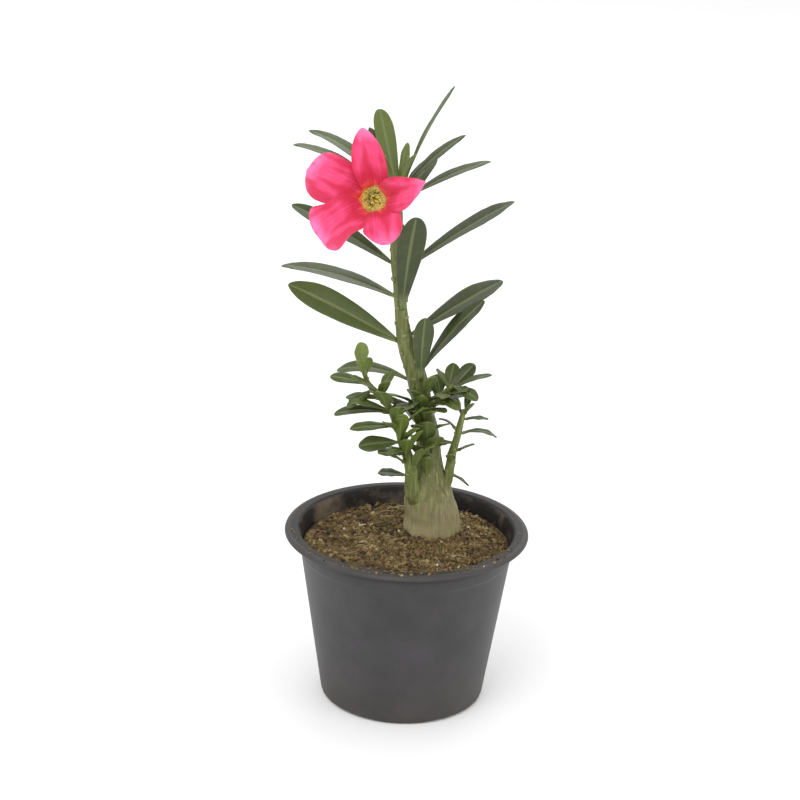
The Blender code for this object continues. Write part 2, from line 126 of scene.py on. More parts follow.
# Leaves: stem, height of the foot, azimuth, rise, length, width, arch, roll, and youth, from 0
# for a dark full-grown blade to 1 for a bright new one. Millimetres and degrees.
LEAVES = {
    "crown_1": ("trunk", 258, 5, 72, 53, 8, 15, 0, 0.15),
    "crown_2": ("trunk", 256, 15, 50, 39, 10, 18, 5, 0.15),
    "crown_3": ("trunk", 251, 5, 34, 45, 11, 20, 5, 0.1),
    "crown_4": ("trunk", 258, 112, 54, 40, 10, 10, 0, 0.6),
    "crown_5": ("trunk", 253, 126, 60, 36, 8, 20, -10, 0.1),
    "crown_6": ("trunk", 254, 168, 54, 50, 11, 45, -10, 0.2),
    "crown_7": ("trunk", 251, 190, 50, 54, 11, 40, -5, 0.1),
    "stem_1": ("trunk", 220, 165, 29, 55, 13, 10, -15, 0.05),
    "stem_2": ("trunk", 203, 155, 15, 62, 14, 20, -8, 0.1),
    "stem_3": ("trunk", 181, 185, 31, 59, 15, 5, -45, 0.25),
    "stem_4": ("trunk", 217, 20, 33, 63, 13.5, 12, 3, 0),
    "stem_5": ("trunk", 200, -74, 78, 48, 14, -6, 180, 0),
    "stem_6": ("trunk", 184, 20, 30, 52, 16, 10, 12, 0),
    "stem_7": ("trunk", 168, -4, 58, 44, 12, 14, 24, 0),
    "stem_8": ("trunk", 165, -62, 90, 29, 11, -4, 180, 0.1),
    "stem_9": ("trunk", 232, 105, 40, 38, 12, 10, 0, 0.1),
    "left_1": ("upper_left_branch", 171, 120, 84, 12, 8, 10, 0, 1),
    "left_2": ("trunk", 161, 175, 24, 36, 10, 50, -15, 0.3),
    "left_3": ("upper_left_branch", 162, 180, 18, 17, 8, 25, -20, 0.35),
    "left_4": ("upper_left_branch", 158, 215, -15, 15, 6, 25, -15, 0.3),
    "left_5": ("trunk", 150, 225, 35, 20, 8, 20, 0, 0.4),
    "left_6": ("left_branch", 148, 190, 16, 26, 8, 35, -10, 0.2),
    "left_7": ("left_branch", 141, 205, 10, 22, 8, 20, -15, 0.4),
    "left_8": ("left_branch", 132, 200, 6, 19, 9, 30, -35, 0.2),
    "left_9": ("left_branch", 129, 240, 20, 12, 6, 20, -20, 0.3),
    "left_10": ("left_branch", 119, 305, 66, 14, 7, 10, 0, 0.5),
    "left_11": ("left_branch", 114, 195, 15, 13, 7, 20, -20, 0),
    "left_12": ("left_branch", 138, 280, 70, 13, 7, 10, 0, 0.9),
    "left_13": ("left_branch", 151, 250, 57, 17, 8, 20, 0, 0.5),
    "centre_1": ("trunk", 129, 268, 60, 20, 9, 10, 0, 0.3),
    "centre_2": ("trunk", 140, 265, 55, 15, 8, 10, 0, 0.4),
    "centre_3": ("trunk", 117, 255, 72, 15, 7, 10, 0, 0.2),
    "centre_4": ("trunk", 150, 75, 20, 22, 9, 20, 0, 0.3),
    "right_1": ("upper_right_branch", 157, 25, 48, 18, 8, 20, 30, 0),
    "right_2": ("upper_right_branch", 159, -5, 38, 20, 6, 30, 10, 0.2),
    "right_3": ("upper_right_branch", 160.6, -40, -5, 14, 7, 20, 20, 0.2),
    "right_4": ("upper_right_branch", 154, -65, 8, 17, 7, 20, 10, 0.4),
    "right_5": ("upper_right_branch", 154, 105, 50, 11, 5, 10, 0, 0.3),
    "right_6": ("right_branch", 143, 0, 9, 11, 4, 15, 10, 0.1),
    "right_7": ("right_branch", 147, 60, 64, 9, 4, 5, 0, 0.2),
    "right_8": ("right_branch", 135, 10, 16, 19, 5, 60, 10, 0.1),
    "right_9": ("right_branch", 138, 190, 60, 10, 3, 60, 0, 0.2),
    "right_10": ("right_branch", 130, 200, 8, 8, 5, 20, -15, 0.2),
    "right_11": ("right_branch", 111, 20, -31, 11, 4, 20, 10, 0.1),
}
# Leaflets fill the crowded middle and the growing tips. Their rows are as those of the leaves, in
# groups of one stem each.
LEAFLETS = (
    ("trunk",
     (121, 240, 60, 13, 7, 15, 0, 0.5), (126, 285, 55, 15, 8, 15, 0, 0.4),
     (133, 250, 50, 16, 8, 20, 5, 0.6), (137, 312, 35, 13, 7, 15, -5, 0.4),
     (143, 285, 40, 16, 8, 20, 0, 0.5), (147, 300, 22, 15, 7, 20, 10, 0.35),
     (152, 250, 45, 14, 7, 15, 0, 0.5), (148, 225, 20, 14, 7, 30, -10, 0.4)),
    ("left_branch",
     (122, 230, 40, 13, 7, 20, -10, 0.7), (127, 275, 60, 12, 7, 10, 0, 0.8),
     (134, 305, 50, 14, 7, 15, 5, 0.7), (139, 240, 45, 13, 7, 20, 0, 0.6),
     (144, 275, 55, 14, 7, 10, 0, 0.6), (148, 315, 40, 14, 7, 20, 5, 0.4),
     (154, 230, 50, 12, 6, 15, 0, 0.5), (158, 285, 60, 12, 6, 10, 0, 0.5),
     (160, 200, 45, 14, 7, 25, -10, 0.4), (159, 60, 50, 12, 6, 20, 0, 0.4)),
    ("upper_right_branch",
     (149, 300, 30, 15, 8, 20, 5, 0.4), (151, 350, 30, 14, 7, 25, 10, 0.4),
     (158, 75, 55, 14, 7, 20, 0, 0.2), (160, 150, 60, 10, 5, 20, 0, 0.3)),
    ("upper_left_branch",
     (150, 240, 35, 14, 6, 20, -5, 0.5), (154, 200, 8, 16, 6, 25, -10, 0.4),
     (167, 80, 50, 9, 5, 15, 0, 0.8), (170, 250, 65, 8, 5, 10, 0, 0.9)),
    ("right_branch",
     (120, 265, 50, 9, 5, 15, 0, 0.4), (126, 340, 35, 9, 4, 20, 5, 0.3),
     (146, 130, 60, 10, 4, 15, 0, 0.3), (147, 300, 55, 9, 4, 15, 0, 0.4)),
    ("left_branch",
     (124, 330, 45, 14, 8, 15, 0, 1), (129, 320, 62, 14, 8, 10, 0, 1),
     (136, 270, 70, 13, 8, 10, 0, 0.9), (141, 340, 55, 15, 8, 15, 0, 0.9),
     (146, 20, 40, 15, 8, 20, 0, 0.6), (150, 200, 25, 18, 7, 20, -10, 0.5),
     (126, 215, 20, 13, 7, 20, -15, 0.5), (155, 170, 10, 17, 6, 30, -15, 0.4)),
    ("trunk",
     (115, 262, 70, 11, 6, 10, 0, 0.5), (131, 225, 35, 14, 7, 15, -5, 0.8),
     (138, 235, 55, 15, 8, 10, 0, 0.8), (145, 262, 65, 14, 7, 10, 0, 0.7),
     (152, 330, 30, 18, 8, 20, 10, 0.2), (155, 300, 60, 14, 7, 10, 0, 0.5)),
    ("upper_right_branch",
     (155, 320, 35, 14, 8, 20, 10, 0.2), (158, 45, 30, 16, 8, 20, 20, 0.1),
     (152, 90, 45, 14, 8, 20, 0, 0.2), (156, 265, 20, 12, 7, 20, 0, 0.4)),
    ("trunk",
     (258, 60, 72, 20, 5, 10, 0, 0.8), (259, 215, 76, 15, 4, 10, 0, 0.9),
     (259, 320, 70, 18, 5, 15, 0, 0.7), (245, 60, 45, 36, 10, 20, 0, 0.1)),
)
# What differs from the usual blade: (foot share, peak, bluntness).
ODD_LEAVES = {
    "stem_4": (0.2, 1.75, 0.62), "stem_5": (0.18, 2.0, 0.42), "stem_6": (0.16, 1.8, 0.62),
    "stem_8": (0.26, 1.8, 0.45), "crown_4": (0.4, 1.8, 0.45),
}
BARK_BELOW = 78 * MM  # height up to which a stem has nothing but dry bark
GREEN_ABOVE = 158 * MM  # height from which it has nothing but green skin
LEAF_STANDOFF = 0.7 * MM
LEAF_ROOT = 2.6 * MM  # length of the leaf's stalk that is buried in the stem

# Flower
FLOWER_PLACE = Vector((-20, -22, 258.7)) * MM
FLOWER_TURN = -20
FLOWER_LIFT = 23
MOUTH_OUTER = 7.2 * MM
PETAL_FOOT = (MOUTH_OUTER - 0.5 * MM, 1.2 * MM)  # distance from the flower's axis, height over its mouth
TUBE_LENGTH = 23 * MM
TUBE_WALL = 0.7 * MM
# The tube's outline, from its flared mouth down: height as a share of the tube's length, and radius
# as a share of the mouth's.
TUBE_STATIONS = (
    (0.045, 1.12), (0.02, 1.06), (0, 1.0), (-0.12, 0.95), (-0.4, 0.78), (-0.6, 0.5), (-0.7, 0.36),
    (-1, 0.3),
)
# Petals: direction, length, width, rise, roll, arch, fold, twist, ruffle, ruffles, phase, sway,
# peak and bluntness. Millimetres and degrees; direction 90 is up.
PETALS = {
    "1": (94, 28, 15.5, 48, 12, 24, 0.42, 8, 1.4, 1.0, 3.6, 0.05, 0.84, 0.62),
    "2": (166, 27.5, 24, 50, -6, 40, -0.14, -14, 3.2, 0.6, 0.4, 0.04, 1.55, 0.46),
    "3": (229, 26.5, 24.5, 48, 4, 30, 0.28, 12, 3.4, 1.4, 0.6, 0.12, 2.0, 0.30),
    "4": (310, 21.5, 18.5, 48, -10, 40, 0.24, -12, 2.4, 1.3, 1.6, -0.08, 1.30, 0.52),
    "5": (10, 30, 16, 46, 18, 20, 0.50, 10, 1.0, 1.0, 3.0, 0.02, 0.80, 0.90),
}
SEED = 7

# The camera stands a metre off, looks down at 20 degrees and leans a little to the left.
CAMERA_PLACE = Vector((-0.0053, -0.9406, 0.4936))
CAMERA_TARGET = Vector((-0.0053, 0, 0.154))
CAMERA_LEAN = 1.85
LAMP_TARGET = Vector((0, 0, 0.15))


def linear(hex_colour):
    """Linear (red, green, blue) of an sRGB hex value."""
    channels = [int(hex_colour[i:i + 2], 16) / 255 for i in (1, 3, 5)]
    return tuple(c / 12.92 if c <= 0.04045 else ((c + 0.055) / 1.055) ** 2.4 for c in channels)


def colour(label, default, description):
    """A colour that a user can change."""
    return FloatVectorProperty(
        name=label, description=description, default=linear(default), subtype="COLOR", min=0, max=1
    )


def length(label, default, description):
    """A length that a user can change, in metres."""
    return FloatProperty(
        name=label, description=description, default=default, min=0, unit="LENGTH", precision=4
    )


class PotSettings(bpy.types.PropertyGroup):
    sides: IntProperty(name="Sides", description="Flats round the pot's turned wall", default=192, min=48)
    corner: length("Corner", 0.5 * MM, "Largest radius that rounds the wall's moulded corners")
    plastic: colour("Plastic", "#2c2a2c", "Colour of the clean plastic")
    worn: colour("Worn", "#393739", "Colour of rubbed and scuffed plastic")
    # Painted shade: a dark colour laid on the pot's inside, the inner part of its lip and the wall just
    # under its lip.
    dark_tone: colour("Damp", "#161211", "Colour of the grime on the wall's inside and in its corners")
    silt: colour("Silt", "#7c6c5b", "Colour of the drier streaks on the wall's inside")
    dust: colour("Dust", "#514a3d", "Colour of the dried mud and dust near the foot and the rim")


class SoilSettings(bpy.types.PropertyGroup):
    mound: length("Mound", 4 * MM, "How far the soil is heaped up round the caudex")
    spread: length("Mound spread", 22 * MM, "Radius over which the heap falls away")
    rough: length("Roughness", 1.1 * MM, "Height of the bed's own lumps")
    crumb: length("Crumb", 0.9 * MM, "Middle radius of a crumb")
    spacing: length("Crumb spacing", 0.74 * MM, "Least distance between two crumbs")
    fibres: IntProperty(name="Fibres", description="Coir fibres lying on the soil", default=420, min=0)
    chips: IntProperty(
        name="Bark chips", description="Flat chips of bark among the crumbs", default=170, min=0
    )
    grains: IntProperty(name="Perlite", description="Pale grains of perlite", default=7, min=0)
    spilt: IntProperty(
        name="Spilt crumbs", description="Crumbs lying on the pot's lip, most of them in front",
        default=420
    )


class StemSettings(bpy.types.PropertyGroup):
    sides: IntProperty(name="Sides", description="Flats round a stem", default=56, min=12)
    step: length("Step", 0.8 * MM, "Distance between the rings that a stem is made of")
    bark: colour("Bark", "#8e8360", "Colour of the dry skin of the caudex at the soil")
    olive: colour("Olive bark", "#66653d", "Colour of the caudex higher up")
    green: colour("Green skin", "#646b37", "Colour of the young stems")
    pale: colour("Pale streak", "#969d62", "Colour of the pale streaks and ridges")
    fresh: colour("Fresh shoot", "#667036", "Colour of the side shoots' skin")
    scar: colour("Scar", "#8d8a63", "Colour of old leaf scars and corky dots")


class LeafSettings(bpy.types.PropertyGroup):
    thickness: length("Thickness", 0.85 * MM, "Thickness of a blade beside its midrib")
    rib: length("Midrib", 0.35 * MM, "Depth of the midrib's groove")
    fold: FloatProperty(name="Fold", description="Rise of the edges over the midrib", default=0.18)
    rounds: IntProperty(
        name="Points round", description="Points round a blade's section", default=36, min=12
    )
    rings: IntProperty(
        name="Rings", description="Rings from a large blade's foot to its tip", default=40, min=8
    )
    mature: colour("Mature leaf", "#333d1b", "Upper face of a full-grown leaf")
    young: colour("Young leaf", "#67782a", "Upper face of a new leaf")
    under: colour("Underside", "#565e3c", "Lower face of a leaf")
    vein: colour("Vein", "#757f50", "Midrib and side veins")


class FlowerSettings(bpy.types.PropertyGroup):
    thickness: length("Petal thickness", 0.45 * MM, "Thickness of a petal in its middle")
    petal: colour("Petal", "#e64377", "Middle of a petal's face")
    # Deep pink also paints the shade in a petal's folds and along its edges.
    deep: colour("Deep pink", "#c61640", "Foot and folds of a petal")
    light: colour("Light pink", "#f274ab", "Outer parts and streaks of a petal")
    throat: colour("Throat", "#fff08c", "Inside of the tube")
    outer: colour("Tube", "#b3606b", "Outside of the tube")
    anther: colour("Anther", "#fff2a0", "Anthers and their hairy tails")
    hairs: FloatProperty(
        name="Down", description="Hairs to a square metre of the throat", default=6e6, min=0
    )
    sepal: colour("Sepal", "#6d6f35", "The five sepals round the tube's foot")


class StageSettings(bpy.types.PropertyGroup):
    floor: colour("Floor", "#fafafa", "Colour of the floor")
    reach: length("Floor size", 12, "Side of the square floor")
    sky: FloatProperty(name="Surround", description="Strength of the white surround", default=1.0, min=0)
    key: FloatProperty(
        name="Key light", description="Power of the large front light, in watts", default=12, min=0
    )
    lens: FloatProperty(
        name="Lens", description="Focal length on a 36 mm sensor, in mm", default=93.4, min=10
    )


class RoseSettings(bpy.types.PropertyGroup):
    pot: PointerProperty(type=PotSettings, name="Pot", description="The nursery pot")
    soil: PointerProperty(type=SoilSettings, name="Soil", description="The potting mix")
    stems: PointerProperty(type=StemSettings, name="Stems", description="The caudex and the stems")
    leaves: PointerProperty(type=LeafSettings, name="Leaves", description="The leaves")
    flower: PointerProperty(type=FlowerSettings, name="Flower", description="The flower")
    stage: PointerProperty(type=StageSettings, name="Stage", description="Floor, light and camera")


# Nodes


def fill(tree, node, inputs):
    """Fills a node's inputs: nodes and sockets are linked, values are set, and a list is linked in full.

    Inputs are a list in the order of the node's live sockets, or a dict by their names. A colour has
    three parts.
    """
    live = [socket for socket in node.inputs if socket.enabled]
    pairs = inputs.items() if isinstance(inputs, dict) else enumerate(inputs)
    for key, given in pairs:
        socket = live[key] if isinstance(key, int) else next(s for s in live if s.name == key)
        for value in given if isinstance(given, list) else [given]:
            if isinstance(value, bpy.types.Node):
                value = next(out for out in value.outputs if out.enabled)
            if isinstance(value, bpy.types.NodeSocket):
                tree.links.new(value, socket)
            elif socket.type == "RGBA":
                socket.default_value = (*value, 1)
            else:
                socket.default_value = value


def add(tree, kind, inputs=(), stops=(), **settings):
    """Adds one node with its settings and inputs. Stops are the places and colours of a colour ramp."""
    node = tree.nodes.new(kind)
    for key, value in settings.items():
        setattr(node, key, value)
    if stops:
        ramp = node.color_ramp
        ramp.elements.remove(ramp.elements[1])
        ramp.elements[0].position = stops[0][0]
        ramp.elements[0].color = (*stops[0][1], 1)
        for place, shade in stops[1:]:
            ramp.elements.new(place).color = (*shade, 1)
    fill(tree, node, inputs)
    return node


def new_tree(name, inputs):
    """A geometry tree with these inputs, as {name: kind of socket}, and the sockets that give them."""
    tree = bpy.data.node_groups.new(name, "GeometryNodeTree")
    for label, kind in inputs.items():
        tree.interface.new_socket(label, in_out="INPUT", socket_type="NodeSocket" + kind)
    tree.interface.new_socket("Geometry", in_out="OUTPUT", socket_type="NodeSocketGeometry")
    return tree, add(tree, "NodeGroupInput").outputs


def close_tree(tree, geometry, material):
    """Ends a tree: its instances are made real and it takes its material."""
    real = add(tree, "GeometryNodeRealizeInstances", {"Geometry": geometry})
    clad = add(tree, "GeometryNodeSetMaterial", {"Geometry": real, "Material": material})
    add(tree, "NodeGroupOutput", [clad])
    return tree


def add_modifier(host, tree, values):
    """Hangs a geometry tree on an object, with its named inputs set."""
    modifier = host.modifiers.new(tree.name, "NODES")
    modifier.node_group = tree
    for item in tree.interface.items_tree:
        if item.name in values:
            modifier[item.identifier] = values[item.name]


def new_object(name, mesh=None):
    """An object in the scene, with this mesh or an empty one."""
    host = bpy.data.objects.new(name, mesh or bpy.data.meshes.new(name))
    bpy.context.scene.collection.objects.link(host)
    return host


def as_plain_mesh(host):
    """The object's evaluated mesh. The object itself is removed."""
    graph = bpy.context.evaluated_depsgraph_get()
    mesh = bpy.data.meshes.new_from_object(host.evaluated_get(graph))
    bpy.data.objects.remove(host, do_unlink=True)
    if not mesh.polygons:
        raise RuntimeError(f"{mesh.name} came out empty")
    return mesh


def finish_piece(name, mesh, nodes, material=None):
    """The finished piece: at the origin, on the plant's body, in place of its solids."""
    mesh.name = name
    if material:
        mesh.materials.clear()
        mesh.materials.append(material)
    piece = new_object(name, mesh)
    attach(piece, BODY)
    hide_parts(*nodes)
    return piece


def joined(meshes):
    """One mesh of several, with their attributes."""
    hosts = [new_object("part", mesh) for mesh in meshes]
    with bpy.context.temp_override(
        active_object=hosts[0], selected_editable_objects=hosts, selected_objects=hosts
    ):
        bpy.ops.object.join()
    return as_plain_mesh(hosts[0])


# Materials


def new_material(name):
    """A material, its tree and its shader."""
    material = bpy.data.materials.new(name)
    material.use_nodes = True
    tree = material.node_tree
    return material, tree, tree.nodes["Principled BSDF"]


def moulded_polypropylene(pot):
    """Black recycled polypropylene, injection moulded: satin, greyed by dust, rubs and fine scratches, with
    painted shade inside and under the lip.
    """
    material, tree, shader = new_material("moulded recycled polypropylene")
    place = add(tree, "ShaderNodeTexCoord").outputs["Object"]
    cloud = add(tree, "ShaderNodeTexNoise", {
        "Vector": place, "Scale": 1 / (26 * MM), "Detail": 5, "Roughness": 0.62})
    clean = add(tree, "ShaderNodeMapRange", {"Value": cloud, "From Min": 0.36, "From Max": 0.7})
    base = add(tree, "ShaderNodeMix", {
        "Factor": clean, "A": pot.plastic, "B": pot.worn}, data_type="RGBA")
    # Scratches run mostly up and down: the noise is 0.9 mm wide and 22 mm long.
    drawn = add(tree, "ShaderNodeMapping", {
        "Vector": place, "Scale": (1 / (0.9 * MM), 1 / (0.9 * MM), 1 / (22 * MM))})
    streak = add(tree, "ShaderNodeTexNoise", {
        "Vector": drawn, "Scale": 1.0, "Detail": 3, "Distortion": 0.6})
    scratch = add(tree, "ShaderNodeMapRange", {
        "Value": streak, "From Min": 0.64, "From Max": 0.74, "To Max": 0.4})
    scuffed = add(tree, "ShaderNodeMix", {"Factor": scratch, "A": base, "B": pot.worn}, data_type="RGBA")
    # Smudges of dried splashes, about 4.5 mm across, are few and soft.
    splash = add(tree, "ShaderNodeTexNoise", {
        "Vector": place, "Scale": 1 / (4.5 * MM), "Detail": 6, "Roughness": 0.7})
    smudge = add(tree, "ShaderNodeMapRange", {
        "Value": splash, "From Min": 0.6, "From Max": 0.78, "To Max": 0.35})
    height = add(tree, "ShaderNodeSeparateXYZ", [place]).outputs["Z"]
    low = add(tree, "ShaderNodeMapRange", {
        "Value": height, "From Min": 34 * MM, "From Max": 0.0, "To Max": 0.5})
    high = add(tree, "ShaderNodeMapRange", {
        "Value": height, "From Min": POT_HEIGHT - 2 * MM, "From Max": POT_HEIGHT, "To Max": 0.5})
    bands = add(tree, "ShaderNodeMath", [low, high], operation="ADD")
    mud = add(tree, "ShaderNodeMath", [bands, cloud, smudge], operation="MULTIPLY_ADD")
    coat = add(tree, "ShaderNodeMix", {"Factor": mud, "A": scuffed, "B": pot.dust}, data_type="RGBA")
    # The inside is where the distance from the axis is less than the wall's outer radius. Painted shade
    # darkens the inside and the inner part of the lip, and painted shadow darkens the corner beneath the
    # lip.
    flat = add(tree, "ShaderNodeVectorMath", [place, (1, 1, 0)], operation="MULTIPLY")
    radius = add(tree, "ShaderNodeVectorMath", [flat], operation="LENGTH")
    outer = add(tree, "ShaderNodeMath", [height, WALL_SLOPE, FOOT_RADIUS], operation="MULTIPLY_ADD")
    gap = add(tree, "ShaderNodeMath", [radius, outer], operation="SUBTRACT")
    top = add(tree, "ShaderNodeMapRange", {
        "Value": height, "From Min": LIP_BASE, "From Max": LIP_BASE + 0.6 * MM, "To Max": LIP_SHADE})
    depth = add(tree, "ShaderNodeMath", [gap, top], operation="SUBTRACT")
    ragged = add(tree, "ShaderNodeMath", [splash, 1 * MM, depth], operation="MULTIPLY_ADD")
    inside = add(tree, "ShaderNodeMapRange", {
        "Value": ragged, "From Min": 0.1 * MM, "From Max": -0.5 * MM, "To Max": 0.93})
    # Painted shadow under the lip: the wall just beneath it is darkened, fading out downwards.
    corner = add(tree, "ShaderNodeMapRange", {
        "Value": height, "From Min": LIP_BASE - 6 * MM, "From Max": LIP_BASE - 3.5 * MM, "To Max": 0.95})
    beneath = add(tree, "ShaderNodeMapRange", {"Value": gap, "From Min": 4.2 * MM, "From Max": 3.2 * MM})
    tucked = add(tree, "ShaderNodeMath", [corner, beneath], operation="MULTIPLY")
    # Painted shade inside the pot and painted shadow under its lip, joined into one mask.
    shade_mask = add(tree, "ShaderNodeMath", [inside, tucked], operation="MAXIMUM")
    dry = add(tree, "ShaderNodeMapRange", {
        "Value": cloud, "From Min": 0.44, "From Max": 0.6, "To Max": 0.9})
    walled = add(tree, "ShaderNodeMapRange", {"Value": gap, "From Min": -0.2 * MM, "From Max": -0.6 * MM})
    silted = add(tree, "ShaderNodeMath", [dry, walled], operation="MULTIPLY")
    # The painted shade's dark colour, with lighter silt streaks on the inner wall.
    shade_and_silt = add(tree, "ShaderNodeMix", {"Factor": silted, "A": pot.dark_tone, "B": pot.silt}, data_type="RGBA")
    walls = add(tree, "ShaderNodeMix", {"Factor": shade_mask, "A": coat, "B": shade_and_silt}, data_type="RGBA")
    matt = add(tree, "ShaderNodeMapRange", {"Value": mud, "To Min": 0.5, "To Max": 0.85})
    # The mould's skin has a fine spark-eroded grain of 0.3 mm, drawn 0.7 mm wide so that it shows.
    grain = add(tree, "ShaderNodeTexNoise", {"Vector": place, "Scale": 1 / (0.7 * MM), "Detail": 2})
    relief = add(tree, "ShaderNodeMath", [scratch, -0.6, grain], operation="MULTIPLY_ADD")
    bump = add(tree, "ShaderNodeBump", {"Strength": 0.25, "Distance": 0.1 * MM, "Height": relief})
    fill(tree, shader, {"Base Color": walls, "Roughness": matt, "IOR": 1.49, "Normal": bump})
    return material


def potting_mix(soil):
    """Peat, coir and bark with a little perlite: each crumb its own brown, dull, with dark damp gaps."""
    material, tree, shader = new_material("peat and coir potting mix")
    place = add(tree, "ShaderNodeTexCoord").outputs["Object"]
    tint = add(tree, "ShaderNodeAttribute", attribute_name="tint").outputs["Fac"]
    grain = add(tree, "ShaderNodeTexNoise", {"Vector": place, "Scale": 1 / (1.3 * MM), "Detail": 4})
    mixed = add(tree, "ShaderNodeMath", [grain, 0.16, -0.08], operation="MULTIPLY_ADD")
    # Damp and dry patches, about 13 mm across.
    patch = add(tree, "ShaderNodeTexNoise", {"Vector": place, "Scale": 1 / (13 * MM), "Detail": 3})
    dark_tone = add(tree, "ShaderNodeMapRange", {
        "Value": patch, "From Min": 0.38, "From Max": 0.62, "To Min": -0.15, "To Max": 0.07})
    mixed = add(tree, "ShaderNodeMath", [mixed, dark_tone], operation="ADD")
    shade = add(tree, "ShaderNodeMath", [tint, mixed], operation="ADD")
    stops = [
        (0.0, "#2b2014"), (0.14, "#3d2e1d"), (0.28, "#554126"), (0.42, "#675630"), (0.56, "#75673e"),
        (0.66, "#735a3b"), (0.76, "#87764c"), (0.88, "#ab9a70"), (0.97, "#d2c9b2"),
    ]
    ramp = add(tree, "ShaderNodeValToRGB", [shade], stops=[(spot, linear(code)) for spot, code in stops])
    fine = add(tree, "ShaderNodeTexNoise", {"Vector": place, "Scale": 1 / (0.35 * MM), "Detail": 3})
    bump = add(tree, "ShaderNodeBump", {"Strength": 0.7, "Distance": 0.2 * MM, "Height": fine})
    fill(tree, shader, {"Base Color": ramp, "Roughness": 0.92, "IOR": 1.45, "Normal": bump})
    return material


def living_bark(stems, name, corky):
    """Skin of a succulent stem: green and smooth where young, dry tan cork with pale flecks where old.

    Corky skin is that of the trunk; the other stems are fresh but for the feet that they have in it.
    """
    material, tree, shader = new_material(name)
    place = add(tree, "ShaderNodeTexCoord").outputs["Object"]
    height = add(tree, "ShaderNodeSeparateXYZ", [place]).outputs["Z"]
    patch = add(tree, "ShaderNodeTexNoise", {
        "Vector": place, "Scale": 1 / (9 * MM), "Detail": 5, "Roughness": 0.6})
    # Age follows the height over the soil, with ragged edges to its zones.
    ragged = add(tree, "ShaderNodeMath", [patch, 26 * MM, -13 * MM], operation="MULTIPLY_ADD")
    level = add(tree, "ShaderNodeMath", [height, ragged], operation="ADD")
    age = add(tree, "ShaderNodeMapRange", {"Value": level, "From Min": BARK_BELOW, "From Max": GREEN_ABOVE})
    places, young = ((0.16, 0.36, 0.62), stems.green) if corky else ((0.14, 0.26, 0.42), stems.fresh)
    stops = [(0.0, stems.bark), *zip(places, (stems.bark, stems.olive, young)), (1.0, young)]
    skin = add(tree, "ShaderNodeValToRGB", [age], stops=stops)
    # Streaks follow the stem, which stands: 1.5 mm wide and 14 mm long.
    drawn = add(tree, "ShaderNodeMapping", {
        "Vector": place, "Scale": (1 / (1.5 * MM), 1 / (1.5 * MM), 1 / (14 * MM))})
    streak = add(tree, "ShaderNodeTexNoise", {
        "Vector": drawn, "Scale": 1.0, "Detail": 4, "Distortion": 0.8})
    paler = add(tree, "ShaderNodeMapRange", {
        "Value": streak, "From Min": 0.5, "From Max": 0.74, "To Max": 0.75})
    pale = add(tree, "ShaderNodeMix", {"Factor": paler, "A": skin, "B": stems.pale}, data_type="RGBA")
    darker = add(tree, "ShaderNodeMapRange", {
        "Value": streak, "From Min": 0.44, "From Max": 0.28, "To Max": 0.45})
    shadow = tuple(0.45 * part for part in stems.green)
    dark = add(tree, "ShaderNodeMix", {"Factor": darker, "A": pale, "B": shadow}, data_type="RGBA")
    # Corky dots, about 0.8 mm across.
    dots = add(tree, "ShaderNodeTexVoronoi", {
        "Vector": place, "Scale": 1 / (2.2 * MM), "Randomness": 1.0})
    dot = add(tree, "ShaderNodeMapRange", {
        "Value": dots, "From Min": 0.24, "From Max": 0.12, "To Max": 0.6})
    scar = add(tree, "ShaderNodeAttribute", attribute_name="scar").outputs["Fac"]
    marked = add(tree, "ShaderNodeMath", [dot, scar], operation="MAXIMUM")
    final = add(tree, "ShaderNodeMix", {"Factor": marked, "A": dark, "B": stems.scar}, data_type="RGBA")
    rough = add(tree, "ShaderNodeMapRange", {"Value": age, "To Min": 0.8, "To Max": 0.5})
    fine = add(tree, "ShaderNodeTexNoise", {"Vector": place, "Scale": 1 / (1.2 * MM), "Detail": 5})
    relief = add(tree, "ShaderNodeMath", [streak, 1.2, fine], operation="MULTIPLY_ADD")
    bump = add(tree, "ShaderNodeBump", {"Strength": 0.45, "Distance": 0.35 * MM, "Height": relief})
    fill(tree, shader, {
        "Base Color": final, "Roughness": rough, "IOR": 1.45, "Subsurface Weight": 0.06,
        "Subsurface Radius": (1.0 * MM, 1.2 * MM, 0.4 * MM), "Subsurface Scale": 1.0, "Normal": bump,
    })
    return material


